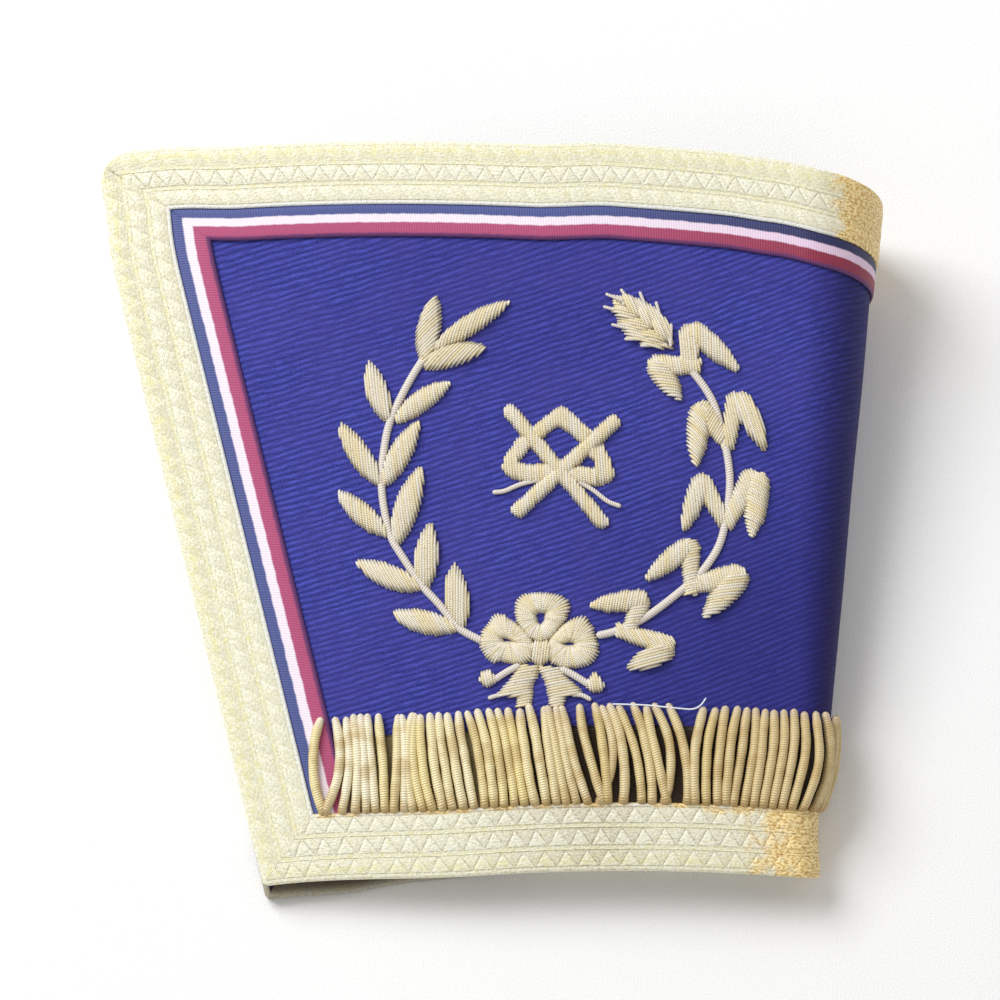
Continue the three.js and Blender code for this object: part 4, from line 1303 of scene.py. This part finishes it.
# Bow: three loops round their holes, a knot, two broad tails, and threads that end in tufts
BOW_LOOPS = [
    {
        "outline": [
            (6.3, -24.8), (5.6, -22.8), (5.8, -19.9), (6.7, -18.9), (8.2, -18.4), (10.8, -18.2),
            (13.2, -18.5), (15.3, -19.0), (16.6, -19.8), (17.2, -21.1), (16.3, -23.6), (13.4, -27.5),
            (10.8, -28.5), (8.2, -27.4),
        ],
        "hole": [
            (9.8, -22.8), (10.6, -22.2), (11.9, -22.3), (11.9, -23.9), (11.1, -25.0), (10.3, -24.4),
        ],
    },
    {
        "outline": [
            (6.7, -25.2), (4.1, -23.5), (3.2, -22.6), (1.8, -22.6), (0.9, -23.2), (-1.3, -26.3),
            (-1.8, -27.8), (-1.7, -29.6), (-0.6, -31.2), (0.9, -32.6), (2.8, -32.2), (4.8, -32.8),
            (6.7, -33.1), (9.3, -32.3), (10.3, -29.8), (8.7, -27.2),
        ],
        "hole": [
            (2.8, -27.4), (4.1, -27.5), (6.4, -28.7), (4.8, -28.4), (3.2, -28.4),
        ],
    },
    {
        "outline": [
            (15.4, -24.9), (17.1, -23.9), (18.6, -23.3), (20.1, -23.0), (20.8, -24.0), (22.0, -25.5),
            (22.3, -27.3), (22.9, -28.9), (23.0, -30.9), (22.2, -32.4), (20.4, -33.4), (18.3, -33.7),
            (16.0, -33.9), (13.1, -32.9), (11.6, -30.8), (12.9, -27.7),
        ],
        "hole": [
            (15.0, -28.8), (16.8, -28.2), (18.1, -28.6), (17.8, -29.3), (16.5, -29.3),
        ],
    },
]
BOW_KNOT = [
    (8.9, -29.2), (9.8, -27.9), (12.3, -27.9), (13.4, -29.3), (12.7, -32.4), (10.8, -33.4), (9.1, -32.4),
]
BOW_TAILS = [
    [
        (6.4, -33.1), (10.6, -33.2), (10.4, -35.4), (9.5, -36.7), (9.2, -39.5), (9.1, -41.8), (5.9, -41.8),
        (5.9, -39.6), (4.1, -39.6), (0.9, -39.8), (3.0, -37.8), (4.8, -35.6),
    ],
    [
        (10.6, -33.2), (15.0, -33.7), (16.3, -35.5), (18.1, -37.0), (19.6, -38.6), (18.6, -39.3),
        (16.2, -39.3), (15.5, -41.9), (12.9, -41.8), (12.5, -39.0), (11.8, -36.4), (10.8, -34.6),
    ],
]
BOW_TUFTS = [
    [(-1.7, -36.0), (-1.3, -34.4), (0.2, -34.0), (1.3, -35.1), (1.6, -36.6), (0.2, -37.6), (-1.1, -37.2)],
    [(20.9, -36.0), (22.2, -34.5), (23.4, -36.0), (24.2, -37.6), (23.2, -38.7), (21.2, -38.6), (20.4, -37.5)],
]
# Columns: path, radius
BOW_THREADS = [
    ([(6.7, -33.1), (4.1, -34.3), (1.2, -36.2)], 0.7),
    ([(15.0, -33.8), (17.8, -35.2), (21.2, -37.4)], 0.75),
    ([(2.6, -39.2), (1.2, -39.5), (0.0, -39.9)], 0.45),
    ([(17.2, -39.2), (19.6, -39.3), (21.4, -40.4)], 0.5),
]
BOW_LIFT = 0.6
LOOP_HEIGHT = 1.15
# Columns: outlines, stitch angle, height
BOW_FILLS = [([BOW_KNOT], 82, 1.5), (BOW_TAILS, 10, 0.95), (BOW_TUFTS, 100, 1.2)]


def bow():
    shapes = [(ring_rows(loop["outline"], loop["hole"]), LOOP_HEIGHT) for loop in BOW_LOOPS]
    for outlines, angle, high in BOW_FILLS:
        shapes += [(stitch_rows(outline, angle), high) for outline in outlines]
    cords = [cord(path, radius, BOW_LIFT) for path, radius in BOW_THREADS]
    return embroidery("bow_stitches", "bow", shapes, cords)


# Crossed rods tied with a ribbon, whose band makes a peak above and a loop on either side
RODS = [[(4.3, 19.9), (14.8, 7.2), (24.0, -4.1)], [(26.6, 17.5), (16.1, 7.7), (6.0, -1.5)]]
ROD_WIDTH = 3.0
ROD_ENDS = 0.6  # how far in from its tips a rod's rounded ends begin
ROD_RIBBON = [
    [
        (8.0, 15.4), (9.8, 16.5), (11.9, 18.2), (14.1, 19.7), (15.4, 20.6), (16.5, 20.1), (18.2, 18.6),
        (20.1, 16.7), (22.2, 14.9), (20.3, 12.6), (18.9, 13.0), (17.4, 14.6), (16.1, 15.5), (14.8, 16.2),
        (13.6, 15.7), (12.5, 14.9), (11.5, 13.9), (10.4, 12.7),
    ],
    [
        (8.0, 14.3), (6.3, 14.1), (4.9, 12.0), (3.7, 10.5), (2.9, 7.9), (3.7, 6.3), (5.4, 5.2), (7.2, 4.9),
        (10.4, 4.5), (14.0, 4.9), (14.0, 8.5), (11.1, 8.5), (8.3, 8.3), (6.2, 9.0), (7.2, 9.9), (8.6, 11.7),
        (9.8, 12.7),
    ],
    [
        (21.9, 13.4), (24.0, 12.6), (25.2, 10.2), (25.8, 8.4), (26.4, 6.3), (26.0, 5.0), (24.2, 4.0),
        (22.6, 3.7), (19.2, 4.4), (15.6, 4.8), (15.6, 8.2), (18.9, 7.9), (22.1, 7.4), (22.4, 8.8),
        (21.1, 10.0), (20.3, 11.6),
    ],
]
ROD_TAILS = [
    [(10.9, 5.2), (7.7, 4.5), (5.6, 3.8), (3.3, 2.7), (0.9, 2.6)],
    [(18.7, 4.8), (21.1, 3.5), (22.9, 2.2), (25.0, 0.4), (27.8, -0.5)],
]
ROD_TAIL_RADIUS = 0.5
ROD_TAIL_LIFT = 0.5
ROD_ANGLE = 94
ROD_HEIGHT = 1.35
BAND_HEIGHT = 0.95


def rods():
    shapes = [(stitch_rows(band, ROD_ANGLE), BAND_HEIGHT) for band in ROD_RIBBON]
    for path in RODS:
        path = np.array(path)
        path[[0, -1]] -= ROD_ENDS * unit(path[[0, -1]] - path[1])
        outline = spine_outline(path, np.full(len(path), ROD_WIDTH), (True, True))
        shapes.append((stitch_rows(outline, ROD_ANGLE), ROD_HEIGHT))
    cords = [cord(path, ROD_TAIL_RADIUS, ROD_TAIL_LIFT) for path in ROD_TAILS]
    return embroidery("rods_stitches", "crossed_rods", shapes, cords)


# One loose white thread over the fringe's tips

STRAY = [
    (25.7, -41.3), (32.5, -41.5), (36.1, -41.9), (40.0, -42.3), (42.4, -42.5), (44.0, -41.7), (45.1, -40.1),
]
STRAY_RADIUS = 0.16
STRAY_LIFT = 1.9


def stray_thread():
    look = woven_look("loose_thread", THREAD_GREY, THREAD_WHITE)
    return make_piece("stray_thread", cord(STRAY, STRAY_RADIUS, STRAY_LIFT, 1.0), [look])


# Camera, light and floor

LOOK_AT = (2.5, 2.1, 20.0)
TILT = 18.0
DISTANCE = 700.0
LENS = 119.95
SENSOR = 36


def camera():
    turn = math.radians(TILT)
    back = Vector((0, -math.sin(turn), math.cos(turn)))
    data = bpy.data.cameras.new("camera")
    data.lens = LENS
    data.sensor_width = SENSOR
    eye = bpy.data.objects.new("camera", data)
    eye.location = (Vector(LOOK_AT) + Vector(SHIFT) + back * DISTANCE) * MM
    eye.rotation_mode = "QUATERNION"
    eye.rotation_quaternion = (-back).to_track_quat("-Z", "Y")
    bpy.context.scene.collection.objects.link(eye)
    bpy.context.scene.camera = eye


LIGHT = {"at": (-0.75, 0.60, 1.02), "size": 0.8, "power": 17.5, "color": (0.97, 0.98, 1.0)}
SKY = {"color": (1.0, 0.98, 0.95, 1), "strength": 0.56}


def lights():
    data = bpy.data.lights.new("key", "AREA")
    data.size = LIGHT["size"]
    data.energy = LIGHT["power"]
    data.color = LIGHT["color"]
    lamp = bpy.data.objects.new("key", data)
    lamp.location = LIGHT["at"]
    lamp.rotation_mode = "QUATERNION"
    lamp.rotation_quaternion = (-Vector(LIGHT["at"])).to_track_quat("-Z", "Y")
    bpy.context.scene.collection.objects.link(lamp)
    world = bpy.data.worlds.new("room")
    world.use_nodes = True
    sky = world.node_tree.nodes["Background"]
    sky.inputs["Color"].default_value = SKY["color"]
    sky.inputs["Strength"].default_value = SKY["strength"]
    bpy.context.scene.world = world
    bpy.context.scene.view_settings.view_transform = "Standard"


FLOOR_REACH = 2.0


def floor():
    corners = [(FLOOR_REACH * x, FLOOR_REACH * y, 0) for x, y in ((-1, -1), (1, -1), (1, 1), (-1, 1))]
    mesh = bpy.data.meshes.new("floor")
    mesh.from_pydata(corners, [], [(0, 1, 2, 3)])
    mesh.materials.append(woven_look("pale_floor", FLOOR_GREY, FLOOR_WHITE))
    ground = bpy.data.objects.new("floor", mesh)
    bpy.context.scene.collection.objects.link(ground)


BRAID_LOOK = braid_look()
STITCH_LOOK = stitch_look()
CORD_LOOK = cord_look()

camera()
lights()
floor()
wall = wall_sheet()
trims = braids() + [ribbon(), bullion(), laurel(), wheat(), bow(), rods(), tape(), stray_thread()]

wide_round = float(whole_length(1.0)) * MM
arm = float(slant(0.5)) * MM
cut_area = (wide_round + float(whole_length(0.0)) * MM) / 2 * arm
